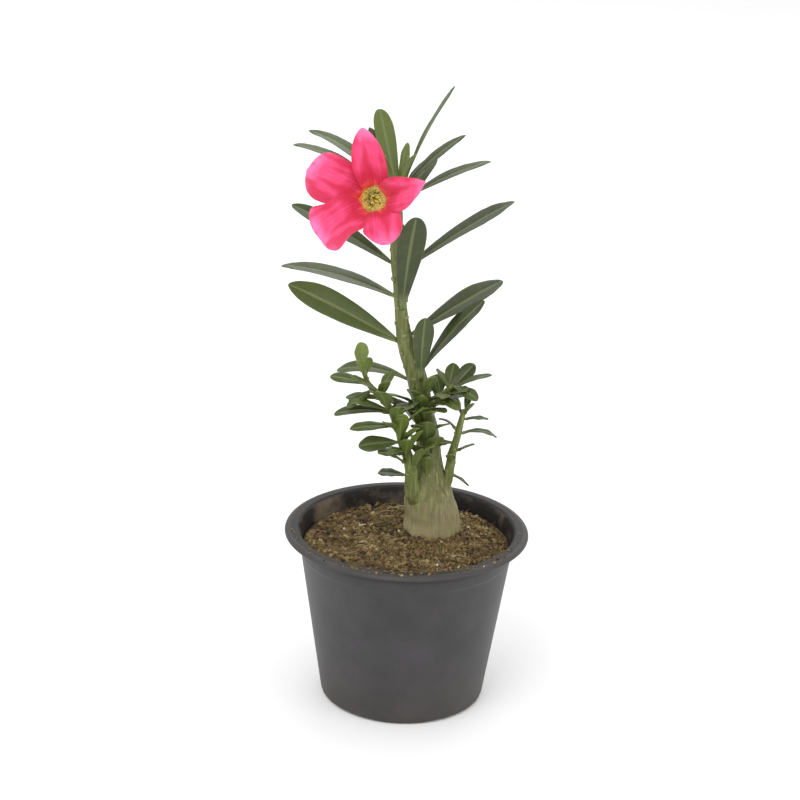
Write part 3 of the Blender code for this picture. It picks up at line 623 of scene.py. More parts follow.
def waxy_leaf(leaves):
    """Leaf under a wax skin: deep green with a grey sheen above, duller and paler below, pale veins."""
    material, tree, shader = new_material("waxy leaf")
    place = add(tree, "ShaderNodeTexCoord").outputs["Object"]
    blade = add(tree, "ShaderNodeAttribute", attribute_name="blade")
    part = add(tree, "ShaderNodeSeparateXYZ", [blade.outputs["Vector"]])
    along, side, face = part.outputs
    youth = add(tree, "ShaderNodeAttribute", attribute_name="youth").outputs["Fac"]
    top = add(tree, "ShaderNodeMix", {
        "Factor": youth, "A": leaves.mature, "B": leaves.young}, data_type="RGBA")
    cloud = add(tree, "ShaderNodeTexNoise", {"Vector": place, "Scale": 1 / (5 * MM), "Detail": 4})
    mottle = add(tree, "ShaderNodeMapRange", {
        "Value": cloud, "From Min": 0.35, "From Max": 0.75, "To Max": 0.28})
    mottled = add(tree, "ShaderNodeMix", {
        "Factor": mottle, "A": top, "B": leaves.under}, data_type="RGBA")
    upper = add(tree, "ShaderNodeMapRange", {"Value": face, "From Min": -0.12, "From Max": 0.12})
    bright = add(tree, "ShaderNodeMath", [youth, 0.85], operation="MULTIPLY")
    below = add(tree, "ShaderNodeMix", {
        "Factor": bright, "A": leaves.under, "B": leaves.young}, data_type="RGBA")
    faces = add(tree, "ShaderNodeMix", {"Factor": upper, "A": below, "B": mottled}, data_type="RGBA")
    # Side veins leave the midrib at a slant, about 12 pairs to a blade.
    off = add(tree, "ShaderNodeMath", [side], operation="ABSOLUTE")
    slant = add(tree, "ShaderNodeMath", [off, -2.4, 0.0], operation="MULTIPLY_ADD")
    course = add(tree, "ShaderNodeMath", [along, 12 * math.tau, slant], operation="MULTIPLY_ADD")
    wave = add(tree, "ShaderNodeMath", [course], operation="COSINE")
    line = add(tree, "ShaderNodeMapRange", {
        "Value": wave, "From Min": 0.86, "From Max": 1.0, "To Max": 0.09})
    fading = add(tree, "ShaderNodeMapRange", {"Value": off, "From Min": 0.9, "From Max": 0.5})
    veins = add(tree, "ShaderNodeMath", [line, fading], operation="MULTIPLY")
    rib = add(tree, "ShaderNodeMapRange", {
        "Value": off, "From Min": 0.16, "From Max": 0.04, "To Max": 0.65})
    stalk = add(tree, "ShaderNodeMapRange", {
        "Value": along, "From Min": 0.16, "From Max": 0.02, "To Max": 0.8})
    edge = add(tree, "ShaderNodeMapRange", {
        "Value": off, "From Min": 0.93, "From Max": 1.0, "To Max": 0.5})
    marks = add(tree, "ShaderNodeMath", [rib, veins], operation="MAXIMUM")
    marks = add(tree, "ShaderNodeMath", [marks, stalk], operation="MAXIMUM")
    marks = add(tree, "ShaderNodeMath", [marks, edge], operation="MAXIMUM")
    final = add(tree, "ShaderNodeMix", {"Factor": marks, "A": faces, "B": leaves.vein}, data_type="RGBA")
    rough = add(tree, "ShaderNodeMapRange", {"Value": cloud, "To Min": 0.3, "To Max": 0.5})
    fine = add(tree, "ShaderNodeTexNoise", {"Vector": place, "Scale": 1 / (0.8 * MM), "Detail": 3})
    relief = add(tree, "ShaderNodeMath", [marks, -0.8, fine], operation="MULTIPLY_ADD")
    bump = add(tree, "ShaderNodeBump", {"Strength": 0.3, "Distance": 0.15 * MM, "Height": relief})
    fill(tree, shader, {
        "Base Color": final, "Roughness": rough, "IOR": 1.45, "Subsurface Weight": 0.08,
        "Subsurface Radius": (0.5 * MM, 0.8 * MM, 0.2 * MM), "Subsurface Scale": 1.0, "Normal": bump,
    })
    return material


def petal_skin(flower):
    """Thin living petal: velvety pink, blood-red towards the throat, light streaks along its veins, painted
    shade in its folds and at its edges.
    """
    material, tree, shader = new_material("petal")
    blade = add(tree, "ShaderNodeAttribute", attribute_name="blade")
    part = add(tree, "ShaderNodeSeparateXYZ", [blade.outputs["Vector"]])
    along, side = part.outputs[:2]
    span = add(tree, "ShaderNodeAttribute", attribute_name="span").outputs["Vector"]
    # Veins fan out along the petal: 0.9 mm apart and 12 mm long.
    drawn = add(tree, "ShaderNodeMapping", {"Vector": span, "Scale": (1 / (12 * MM), 1 / (0.9 * MM), 1)})
    vein = add(tree, "ShaderNodeTexNoise", {
        "Vector": drawn, "Scale": 1.0, "Detail": 4, "Distortion": 0.3})
    cloud = add(tree, "ShaderNodeTexNoise", {"Vector": span, "Scale": 1 / (9 * MM), "Detail": 2})
    shift = add(tree, "ShaderNodeMath", [cloud, 0.5, -0.25], operation="MULTIPLY_ADD")
    reach = add(tree, "ShaderNodeMath", [along, shift], operation="ADD")
    warm = linear("#e2522f")
    stops = [(0.0, warm), (0.02, warm), (0.1, flower.deep), (0.2, flower.deep), (0.42, flower.petal)]
    stops += [(0.72, flower.petal), (1.0, flower.light)]
    base = add(tree, "ShaderNodeValToRGB", [reach], stops=stops)
    light = add(tree, "ShaderNodeMapRange", {
        "Value": vein, "From Min": 0.5, "From Max": 0.78, "To Max": 0.4})
    lit = add(tree, "ShaderNodeMix", {"Factor": light, "A": base, "B": flower.light}, data_type="RGBA")
    dim = add(tree, "ShaderNodeMapRange", {
        "Value": vein, "From Min": 0.46, "From Max": 0.28, "To Max": 0.3})
    dark = add(tree, "ShaderNodeMix", {"Factor": dim, "A": lit, "B": flower.deep}, data_type="RGBA")
    # Painted shade: soft darker bands run along the petal, 6 mm apart, for the shade in its folds, and its
    # edges are rolled and painted darker, most towards the foot, for the shade where the petals overlap.
    wide = add(tree, "ShaderNodeMapping", {"Vector": span, "Scale": (1 / (16 * MM), 1 / (6 * MM), 1)})
    fold = add(tree, "ShaderNodeTexNoise", {"Vector": wide, "Scale": 1.0, "Detail": 1})
    fold_shade = add(tree, "ShaderNodeMapRange", {
        "Value": fold, "From Min": 0.56, "From Max": 0.4, "To Max": 0.75})
    off = add(tree, "ShaderNodeMath", [side], operation="ABSOLUTE")
    # Painted shade along the petal's edges, strongest near its foot.
    rim = add(tree, "ShaderNodeMapRange", {"Value": off, "From Min": 0.7, "From Max": 1.0, "To Max": 0.7})
    inwards = add(tree, "ShaderNodeMapRange", {
        "Value": along, "From Min": 0.35, "From Max": 0.8, "To Min": 1.0, "To Max": 0.35})
    edge = add(tree, "ShaderNodeMath", [rim, inwards], operation="MULTIPLY")
    shaded = add(tree, "ShaderNodeMath", [fold_shade, edge], operation="MAXIMUM")
    final = add(tree, "ShaderNodeMix", {"Factor": shaded, "A": dark, "B": flower.deep}, data_type="RGBA")
    bump = add(tree, "ShaderNodeBump", {"Strength": 0.35, "Distance": 0.18 * MM, "Height": vein})
    fill(tree, shader, {
        "Base Color": final, "Roughness": 0.6, "IOR": 1.4, "Sheen Weight": 0.15,
        "Subsurface Weight": 0.15, "Subsurface Radius": (0.9 * MM, 0.4 * MM, 0.4 * MM),
        "Subsurface Scale": 1.0, "Normal": bump,
    })
    return material


def throat_skin(flower):
    """Flower's tube: downy yellow within and orange at the mouth, dull pink to green without."""
    material, tree, shader = new_material("flower throat")
    depth = add(tree, "ShaderNodeAttribute", attribute_name="depth").outputs["Fac"]
    place = add(tree, "ShaderNodeTexCoord").outputs["Object"]
    down = add(tree, "ShaderNodeTexNoise", {"Vector": place, "Scale": 1 / (1.4 * MM), "Detail": 3})
    shift = add(tree, "ShaderNodeMath", [down, 0.08, -0.04], operation="MULTIPLY_ADD")
    level = add(tree, "ShaderNodeMath", [depth, shift], operation="ADD")
    orange = linear("#f4794a")
    stops = [(0.0, flower.deep), (0.025, orange), (0.07, orange), (0.15, flower.throat)]
    within = add(tree, "ShaderNodeValToRGB", [level], stops=stops)
    stops = [(0.0, flower.deep), (0.25, flower.outer), (0.7, flower.outer), (1.0, flower.sepal)]
    without = add(tree, "ShaderNodeValToRGB", [level], stops=stops)
    inner = add(tree, "ShaderNodeAttribute", attribute_name="inner").outputs["Fac"]
    sides = add(tree, "ShaderNodeMix", {"Factor": inner, "A": without, "B": within}, data_type="RGBA")
    bump = add(tree, "ShaderNodeBump", {"Strength": 0.4, "Distance": 0.15 * MM, "Height": down})
    fill(tree, shader, {
        "Base Color": sides, "Roughness": 0.65, "IOR": 1.4, "Sheen Weight": 0.3,
        "Subsurface Weight": 0.8, "Subsurface Radius": (3 * MM, 2.2 * MM, 0.7 * MM),
        "Subsurface Scale": 1.0, "Normal": bump,
    })
    return material


def plain_tissue(name, base, tip, roughness):
    """Soft plant tissue whose colour changes from foot to tip, with a fine mottle of 0.8 mm."""
    material, tree, shader = new_material(name)
    place = add(tree, "ShaderNodeTexCoord").outputs["Object"]
    blade = add(tree, "ShaderNodeAttribute", attribute_name="blade")
    along = add(tree, "ShaderNodeSeparateXYZ", [blade.outputs["Vector"]])
    mottle = add(tree, "ShaderNodeTexNoise", {"Vector": place, "Scale": 1 / (0.8 * MM), "Detail": 3})
    shift = add(tree, "ShaderNodeMath", [mottle, 0.5, -0.25], operation="MULTIPLY_ADD")
    level = add(tree, "ShaderNodeMath", [along, shift], operation="ADD")
    ramp = add(tree, "ShaderNodeValToRGB", [level], stops=[(0.0, base), (1.0, tip)])
    bump = add(tree, "ShaderNodeBump", {"Strength": 0.4, "Distance": 0.12 * MM, "Height": mottle})
    fill(tree, shader, {
        "Base Color": ramp, "Roughness": roughness, "IOR": 1.4, "Subsurface Weight": 0.3,
        "Subsurface Radius": (1.5 * MM, 1.1 * MM, 0.4 * MM), "Subsurface Scale": 1.0, "Normal": bump,
    })
    return material


def seamless_paper(stage):
    """Matt white background paper, with a faint pulp mottle of 60 mm."""
    material, tree, shader = new_material("seamless paper")
    place = add(tree, "ShaderNodeTexCoord").outputs["Object"]
    pulp = add(tree, "ShaderNodeTexNoise", {"Vector": place, "Scale": 1 / (60 * MM), "Detail": 2})
    fall = add(tree, "ShaderNodeMapRange", {"Value": pulp, "To Max": 0.03})
    shade = tuple(0.9 * part for part in stage.floor)
    paper = add(tree, "ShaderNodeMix", {"Factor": fall, "A": stage.floor, "B": shade}, data_type="RGBA")
    fill(tree, shader, {"Base Color": paper, "Roughness": 0.9})
    return material


# Shapes


def wall_radius(height):
    """Outer radius of the pot's tapered wall."""
    return FOOT_RADIUS + WALL_SLOPE * height


def pot_profile():
    """From the middle of the floor out, up the inside, over the lip, down the outside and back."""
    top = POT_HEIGHT
    inner = wall_radius(FLOOR_TOP) - WALL
    neck = wall_radius(COLLAR_HEIGHT)
    foot = wall_radius(0)
    return [
        (0, FLOOR_TOP),
        (inner - 1.4 * MM, FLOOR_TOP),
        (inner - 0.1 * MM, FLOOR_TOP + 1.3 * MM),
        (neck - WALL, COLLAR_HEIGHT - 1 * MM),
        (MOUTH_RADIUS - 1.8 * MM, top - 4 * MM),
        (MOUTH_RADIUS - 1 * MM, top - 1 * MM),
        (MOUTH_RADIUS, top),
        (LIP_RADIUS - 2 * MM, top - 0.2 * MM),
        (LIP_RADIUS - 0.6 * MM, top - 0.7 * MM),
        (LIP_RADIUS, top - 1.6 * MM),
        (LIP_RADIUS, top - LIP_DEPTH),
        (LIP_RADIUS - LIP_WALL, top - LIP_DEPTH),
        (LIP_RADIUS - LIP_WALL - 0.3 * MM, top - 1.5 * MM),
        (MOUTH_RADIUS + 1.4 * MM, top - 1.3 * MM),
        (MOUTH_RADIUS + 0.2 * MM, top - 2.4 * MM),
        (MOUTH_RADIUS - 0.6 * MM, top - 5 * MM),
        (neck + COLLAR_STEP, COLLAR_HEIGHT),
        (neck, COLLAR_HEIGHT - 0.8 * MM),
        (wall_radius(2.5 * MM), 2.5 * MM),
        (foot - 0.1 * MM, 0.9 * MM),
        (foot - 1.1 * MM, 0.2 * MM),
        (foot - 1.9 * MM, 0),
        (foot - FOOT_RING + 0.4 * MM, 0),
        (foot - FOOT_RING - 0.2 * MM, FLOOR_UNDERSIDE),
        (PAD_RADIUS + 0.6 * MM, FLOOR_UNDERSIDE),
        (PAD_RADIUS, 0),
        (0, 0),
    ]


def rounded(profile, radius, steps=4):
    """The profile with its inner corners eased by curves that start at most a radius from them."""
    points = [Vector(point) for point in profile]
    eased = [points[0]]
    for before, corner, after in zip(points, points[1:], points[2:]):
        back = (before - corner).normalized() * min(radius, 0.45 * (before - corner).length)
        ahead = (after - corner).normalized() * min(radius, 0.45 * (after - corner).length)
        for i in range(steps + 1):
            share = i / steps
            eased.append(corner + back * (1 - share) ** 2 + ahead * share**2)
    return eased + [points[-1]]


def turned(name, profile, sides):
    """An object that turns this profile about Z. Its points (radius, height) run down the outside."""
    mesh = bpy.data.meshes.new(name)
    points = [(radius, 0, height) for radius, height in profile]
    mesh.from_pydata(points, [(i, i + 1) for i in range(len(points) - 1)], [])
    host = new_object(name, mesh)
    screw = host.modifiers.new("Turn", "SCREW")
    screw.steps = screw.render_steps = sides
    screw.use_merge_vertices = True
    screw.merge_threshold = 0.005 * MM
    screw.use_smooth_shade = True
    return host


def pot_tree():
    """Cuts the drains and the foot's notches, each set round in a ring."""
    tree, given = new_tree("pot openings", {
        "Geometry": "Geometry", "Drains": "Int", "Drain Circle": "Float", "Drain Radius": "Float",
        "Notches": "Int", "Notch Circle": "Float", "Notch Size": "Vector", "Material": "Material",
    })
    ring = add(tree, "GeometryNodeMeshCircle", {
        "Vertices": given["Drains"], "Radius": given["Drain Circle"]})
    drill = add(tree, "GeometryNodeMeshCylinder", {
        "Vertices": 40, "Radius": given["Drain Radius"], "Depth": 12 * MM})
    drills = add(tree, "GeometryNodeInstanceOnPoints", {"Points": ring, "Instance": drill})
    circle = add(tree, "GeometryNodeMeshCircle", {
        "Vertices": given["Notches"], "Radius": given["Notch Circle"]})
    quarter = add(tree, "GeometryNodeTransform", {"Geometry": circle, "Rotation": (0, 0, math.pi / FEET)})
    slot = add(tree, "GeometryNodeMeshCube", {"Size": given["Notch Size"]})
    outwards = add(tree, "FunctionNodeAlignRotationToVector", {
        "Vector": add(tree, "GeometryNodeInputPosition")}, axis="X")
    slots = add(tree, "GeometryNodeInstanceOnPoints", {
        "Points": quarter, "Instance": slot, "Rotation": outwards})
    cutters = add(tree, "GeometryNodeJoinGeometry", {"Geometry": [drills, slots]})
    real = add(tree, "GeometryNodeRealizeInstances", {"Geometry": cutters})
    cut = add(tree, "GeometryNodeMeshBoolean", {
        "Mesh 1": given["Geometry"], "Mesh 2": real}, operation="DIFFERENCE")
    return close_tree(tree, cut, given["Material"])


def scatter(tree, points, shape, size, tint, flat, seed):
    """Instances of a shape on points, each with its own turn, size and tint. Flat ones lie down."""
    most = 0.35 if flat else math.pi
    turn = add(tree, "FunctionNodeRandomValue", {
        "Min": (-most, -most, 0), "Max": (most, most, math.tau), "Seed": seed}, data_type="FLOAT_VECTOR")
    low, high = size
    share = add(tree, "FunctionNodeRandomValue", {
        "Min": 0.0, "Max": 1.0, "Seed": seed + 1}, data_type="FLOAT")
    skew = add(tree, "ShaderNodeMath", [share, 2.2], operation="POWER")
    scale = add(tree, "ShaderNodeMapRange", {"Value": skew, "To Min": low, "To Max": high})
    squash = add(tree, "FunctionNodeRandomValue", {
        "Min": (0.65, 0.65, 0.5), "Max": (1.2, 1.2, 0.95), "Seed": seed + 2}, data_type="FLOAT_VECTOR")
    sized = add(tree, "ShaderNodeVectorMath", {"Vector": squash, "Scale": scale}, operation="SCALE")
    spread = add(tree, "GeometryNodeInstanceOnPoints", {
        "Points": points, "Instance": shape, "Rotation": turn, "Scale": sized})
    shade = add(tree, "FunctionNodeRandomValue", {
        "Min": tint[0], "Max": tint[1], "Seed": seed + 3}, data_type="FLOAT")
    return add(tree, "GeometryNodeStoreNamedAttribute", {
        "Geometry": spread, "Name": "tint", "Value": shade}, data_type="FLOAT", domain="INSTANCE")


def soil_tree():
    """Heaps and roughens the bed's top, then strews crumbs, bark chips, fibres and perlite over it."""
    tree, given = new_tree("potting mix", {
        "Geometry": "Geometry", "Level": "Float", "Mound": "Float", "Spread": "Float", "Rough": "Float",
        "Foot": "Vector", "Reach": "Float", "Crumb": "Float", "Spacing": "Float", "Fibres": "Float",
        "Chips": "Float", "Grains": "Float", "Spilt": "Int", "Lip": "Vector", "Seed": "Int",
        "Material": "Material",
    })
    place = add(tree, "GeometryNodeInputPosition")
    parts = add(tree, "ShaderNodeSeparateXYZ", [place])
    flat = add(tree, "ShaderNodeCombineXYZ", [parts.outputs[0], parts.outputs[1], 0.0])
    away = add(tree, "ShaderNodeVectorMath", [flat, given["Foot"]], operation="DISTANCE")
    ratio = add(tree, "ShaderNodeMath", [away.outputs["Value"], given["Spread"]], operation="DIVIDE")
    square = add(tree, "ShaderNodeMath", [ratio, ratio], operation="MULTIPLY")
    minus = add(tree, "ShaderNodeMath", [square, -1.0], operation="MULTIPLY")
    falling = add(tree, "ShaderNodeMath", [minus], operation="EXPONENT")
    lumps = add(tree, "ShaderNodeTexNoise", {
        "Vector": place, "Scale": 1 / (5 * MM), "Detail": 4, "Roughness": 0.6})
    centred = add(tree, "ShaderNodeMath", [lumps, 0.5], operation="SUBTRACT")
    rough = add(tree, "ShaderNodeMath", [given["Rough"], 3.0], operation="MULTIPLY")
    bumps = add(tree, "ShaderNodeMath", [centred, rough], operation="MULTIPLY")
    heap = add(tree, "ShaderNodeMath", [falling, given["Mound"], bumps], operation="MULTIPLY_ADD")
    top = add(tree, "FunctionNodeCompare", [
        parts.outputs[2], given["Level"]], data_type="FLOAT", operation="GREATER_EQUAL")
    lift = add(tree, "ShaderNodeCombineXYZ", [0.0, 0.0, heap])
    bed = add(tree, "GeometryNodeSetPosition", {
        "Geometry": given["Geometry"], "Selection": top, "Offset": lift})
    hue = add(tree, "ShaderNodeMapRange", {
        "Value": lumps, "From Min": 0.3, "From Max": 0.8, "To Min": 0.2, "To Max": 0.6})
    dyed = add(tree, "GeometryNodeStoreNamedAttribute", {
        "Geometry": bed, "Name": "tint", "Value": hue}, data_type="FLOAT", domain="POINT")
    middle = add(tree, "ShaderNodeVectorMath", [flat], operation="LENGTH")
    near = add(tree, "FunctionNodeCompare", [
        middle.outputs["Value"], given["Reach"]], data_type="FLOAT", operation="LESS_THAN")
    clear = add(tree, "FunctionNodeCompare", [
        away.outputs["Value"], CRUMB_FREE], data_type="FLOAT", operation="GREATER_THAN")
    open_top = add(tree, "FunctionNodeBooleanMath", [near, top], operation="AND")
    open_top = add(tree, "FunctionNodeBooleanMath", [open_top, clear], operation="AND")

    packed = add(tree, "GeometryNodeDistributePointsOnFaces", {
        "Mesh": bed, "Selection": open_top, "Distance Min": given["Spacing"], "Density Max": 2.6e6,
        "Seed": given["Seed"]}, distribute_method="POISSON")
    crumb = add(tree, "GeometryNodeMeshIcoSphere", {"Radius": given["Crumb"], "Subdivisions": 1})
    loose = [scatter(tree, packed, crumb, (0.5, 1.8), (0.1, 0.84), False, 11)]
    # Spilt crumbs lie on the flat of the lip, the more the nearer the front.
    middle_lip, half_lip, lip_top = add(tree, "ShaderNodeSeparateXYZ", [given["Lip"]]).outputs
    rim = add(tree, "GeometryNodeMeshCircle", {"Vertices": given["Spilt"], "Radius": 1.0})
    chance = add(tree, "FunctionNodeRandomValue", {
        "Min": -0.15, "Max": 1.1, "Seed": 91}, data_type="FLOAT")
    front = add(tree, "ShaderNodeMath", [parts.outputs[1], -1.0], operation="MULTIPLY")
    kept = add(tree, "FunctionNodeCompare", [front, chance], data_type="FLOAT", operation="GREATER_THAN")
    some = add(tree, "GeometryNodeSeparateGeometry", {"Geometry": rim, "Selection": kept}, domain="POINT")
    sideways = add(tree, "FunctionNodeRandomValue", {
        "Min": -1.0, "Max": 1.0, "Seed": 92}, data_type="FLOAT")
    out = add(tree, "ShaderNodeMath", [sideways, half_lip, middle_lip], operation="MULTIPLY_ADD")
    spot = add(tree, "ShaderNodeVectorMath", {"Vector": place, "Scale": out}, operation="SCALE")
    level = add(tree, "ShaderNodeCombineXYZ", [0.0, 0.0, lip_top])
    strewn = add(tree, "ShaderNodeVectorMath", [spot, level], operation="ADD")
    dropped = add(tree, "GeometryNodeSetPosition", {"Geometry": some, "Position": strewn})
    loose.append(scatter(tree, dropped, crumb, (0.3, 1.1), (0.15, 0.88), False, 93))
    rounder = add(tree, "GeometryNodeMeshIcoSphere", {"Radius": 1 * MM, "Subdivisions": 2})
    chip = add(tree, "GeometryNodeMeshCube", {"Size": (4.2 * MM, 2.0 * MM, 0.9 * MM)})
    bend = add(tree, "GeometryNodeCurveQuadraticBezier", {
        "Resolution": 5, "Start": (-4 * MM, 0, 0), "Middle": (0, 2.6 * MM, 1.2 * MM),
        "End": (4 * MM, 0.6 * MM, 0)})
    hair = add(tree, "GeometryNodeCurvePrimitiveCircle", {"Resolution": 3, "Radius": 0.2 * MM})
    fibre = add(tree, "GeometryNodeCurveToMesh", {
        "Curve": bend, "Profile Curve": hair, "Fill Caps": True})
    for density, shape, size, tint, lies, seed in (
        (given["Chips"], chip, (0.5, 1.2), (0.3, 0.84), True, 31),
        (given["Fibres"], fibre, (0.6, 1.3), (0.45, 0.9), True, 51),
        (given["Grains"], rounder, (0.7, 1.3), (0.95, 1.0), False, 71),
    ):
        dots = add(tree, "GeometryNodeDistributePointsOnFaces", {
            "Mesh": bed, "Selection": open_top, "Density": density, "Seed": seed},
            distribute_method="RANDOM")
        raised = add(tree, "GeometryNodeSetPosition", {"Geometry": dots, "Offset": (0, 0, 0.8 * MM)})
        loose.append(scatter(tree, raised, shape, size, tint, lies, seed))
    everything = add(tree, "GeometryNodeJoinGeometry", {"Geometry": [dyed, *loose]})
    return close_tree(tree, everything, given["Material"])


def stem_tree():
    """A round, slightly lumpy stem along a line of stations, with leaf scars wound up it."""
    tree, given = new_tree("stem", {
        "Geometry": "Geometry", "Sides": "Int", "Step": "Float", "Lump": "Float", "Lump Size": "Float",
        "Ridge": "Float", "Scars": "Int", "Scar Size": "Float", "Scar Start": "Float",
        "Material": "Material",
    })
    girth = add(tree, "GeometryNodeInputNamedAttribute", {"Name": "girth"}, data_type="FLOAT")
    line = add(tree, "GeometryNodeMeshToCurve", {"Mesh": given["Geometry"]})
    smooth = add(tree, "GeometryNodeCurveSplineType", {"Curve": line}, spline_type="CATMULL_ROM")
    path = add(tree, "GeometryNodeResampleCurve", {
        "Curve": smooth, "Length": given["Step"]}, mode="LENGTH")
    ring = add(tree, "GeometryNodeCurvePrimitiveCircle", {"Resolution": given["Sides"], "Radius": 1.0})
    tube = add(tree, "GeometryNodeCurveToMesh", {
        "Curve": path, "Profile Curve": ring, "Scale": girth, "Fill Caps": True})
    place = add(tree, "GeometryNodeInputPosition")
    size = add(tree, "ShaderNodeMath", [1.0, given["Lump Size"]], operation="DIVIDE")
    lumps = add(tree, "ShaderNodeTexNoise", {"Vector": place, "Scale": size, "Detail": 2.5})
    centred = add(tree, "ShaderNodeMath", [lumps, 0.5], operation="SUBTRACT")
    share = add(tree, "ShaderNodeMath", [given["Lump"], girth], operation="MULTIPLY")
    low = add(tree, "ShaderNodeMath", [centred, share], operation="MULTIPLY")
    drawn = add(tree, "ShaderNodeVectorMath", [
        place, (1 / (3 * MM), 1 / (3 * MM), 1 / (20 * MM))], operation="MULTIPLY")
    fine = add(tree, "ShaderNodeTexNoise", {"Vector": drawn, "Scale": 1.0, "Detail": 3})
    ridge = add(tree, "ShaderNodeMath", [fine, 0.5], operation="SUBTRACT")
    swell = add(tree, "ShaderNodeMath", [ridge, given["Ridge"], low], operation="MULTIPLY_ADD")
    push = add(tree, "ShaderNodeVectorMath", {
        "Vector": add(tree, "GeometryNodeInputNormal"), "Scale": swell}, operation="SCALE")
    skin = add(tree, "GeometryNodeSetPosition", {"Geometry": tube, "Offset": push})

    # The scars stand a golden angle apart round the stem.
    trimmed = add(tree, "GeometryNodeTrimCurve", {
        "Curve": smooth, "Start": given["Scar Start"], "End": 0.985}, mode="FACTOR")
    spots = add(tree, "GeometryNodeResampleCurve", {
        "Curve": trimmed, "Count": given["Scars"]}, mode="COUNT")
    tangent = add(tree, "GeometryNodeInputTangent")
    index = add(tree, "GeometryNodeInputIndex")
    angle = add(tree, "ShaderNodeMath", [index, math.radians(137.5)], operation="MULTIPLY")
    across = add(tree, "ShaderNodeVectorMath", [tangent, (0, 1, 0)], operation="CROSS_PRODUCT")
    unit = add(tree, "ShaderNodeVectorMath", [across], operation="NORMALIZE")
    turn = add(tree, "FunctionNodeAxisAngleToRotation", {"Axis": tangent, "Angle": angle})
    outwards = add(tree, "FunctionNodeRotateVector", {"Vector": unit, "Rotation": turn})
    hold = add(tree, "ShaderNodeVectorMath", {"Vector": outwards, "Scale": girth}, operation="SCALE")
    facing = add(tree, "FunctionNodeAlignRotationToVector", {"Vector": outwards}, axis="Z")
    facing = add(tree, "FunctionNodeAlignRotationToVector", {
        "Rotation": facing, "Vector": tangent}, axis="X", pivot_axis="Z")
    kept = add(tree, "GeometryNodeStoreNamedAttribute", {
        "Geometry": spots, "Name": "facing", "Value": facing}, data_type="QUATERNION", domain="POINT")
    moved = add(tree, "GeometryNodeSetPosition", {"Geometry": kept, "Offset": hold})
    plate = add(tree, "GeometryNodeMeshUVSphere", {"Segments": 14, "Rings": 8, "Radius": 1.0})
    flat = add(tree, "GeometryNodeTransform", {"Geometry": plate, "Scale": (0.7, 1.0, 0.34)})
    read = add(tree, "GeometryNodeInputNamedAttribute", {"Name": "facing"}, data_type="QUATERNION")
    vary = add(tree, "FunctionNodeRandomValue", {"Min": 0.6, "Max": 1.15, "Seed": 5}, data_type="FLOAT")
    scale = add(tree, "ShaderNodeMath", [given["Scar Size"], vary], operation="MULTIPLY")
    scars = add(tree, "GeometryNodeInstanceOnPoints", {
        "Points": moved, "Instance": flat, "Rotation": read, "Scale": scale})
    dyed = add(tree, "GeometryNodeStoreNamedAttribute", {
        "Geometry": scars, "Name": "scar", "Value": 0.7}, data_type="FLOAT", domain="INSTANCE")
    whole = add(tree, "GeometryNodeJoinGeometry", {"Geometry": [skin, dyed]})
    shaded = add(tree, "GeometryNodeSetShadeSmooth", {"Geometry": whole})
    return close_tree(tree, shaded, given["Material"])


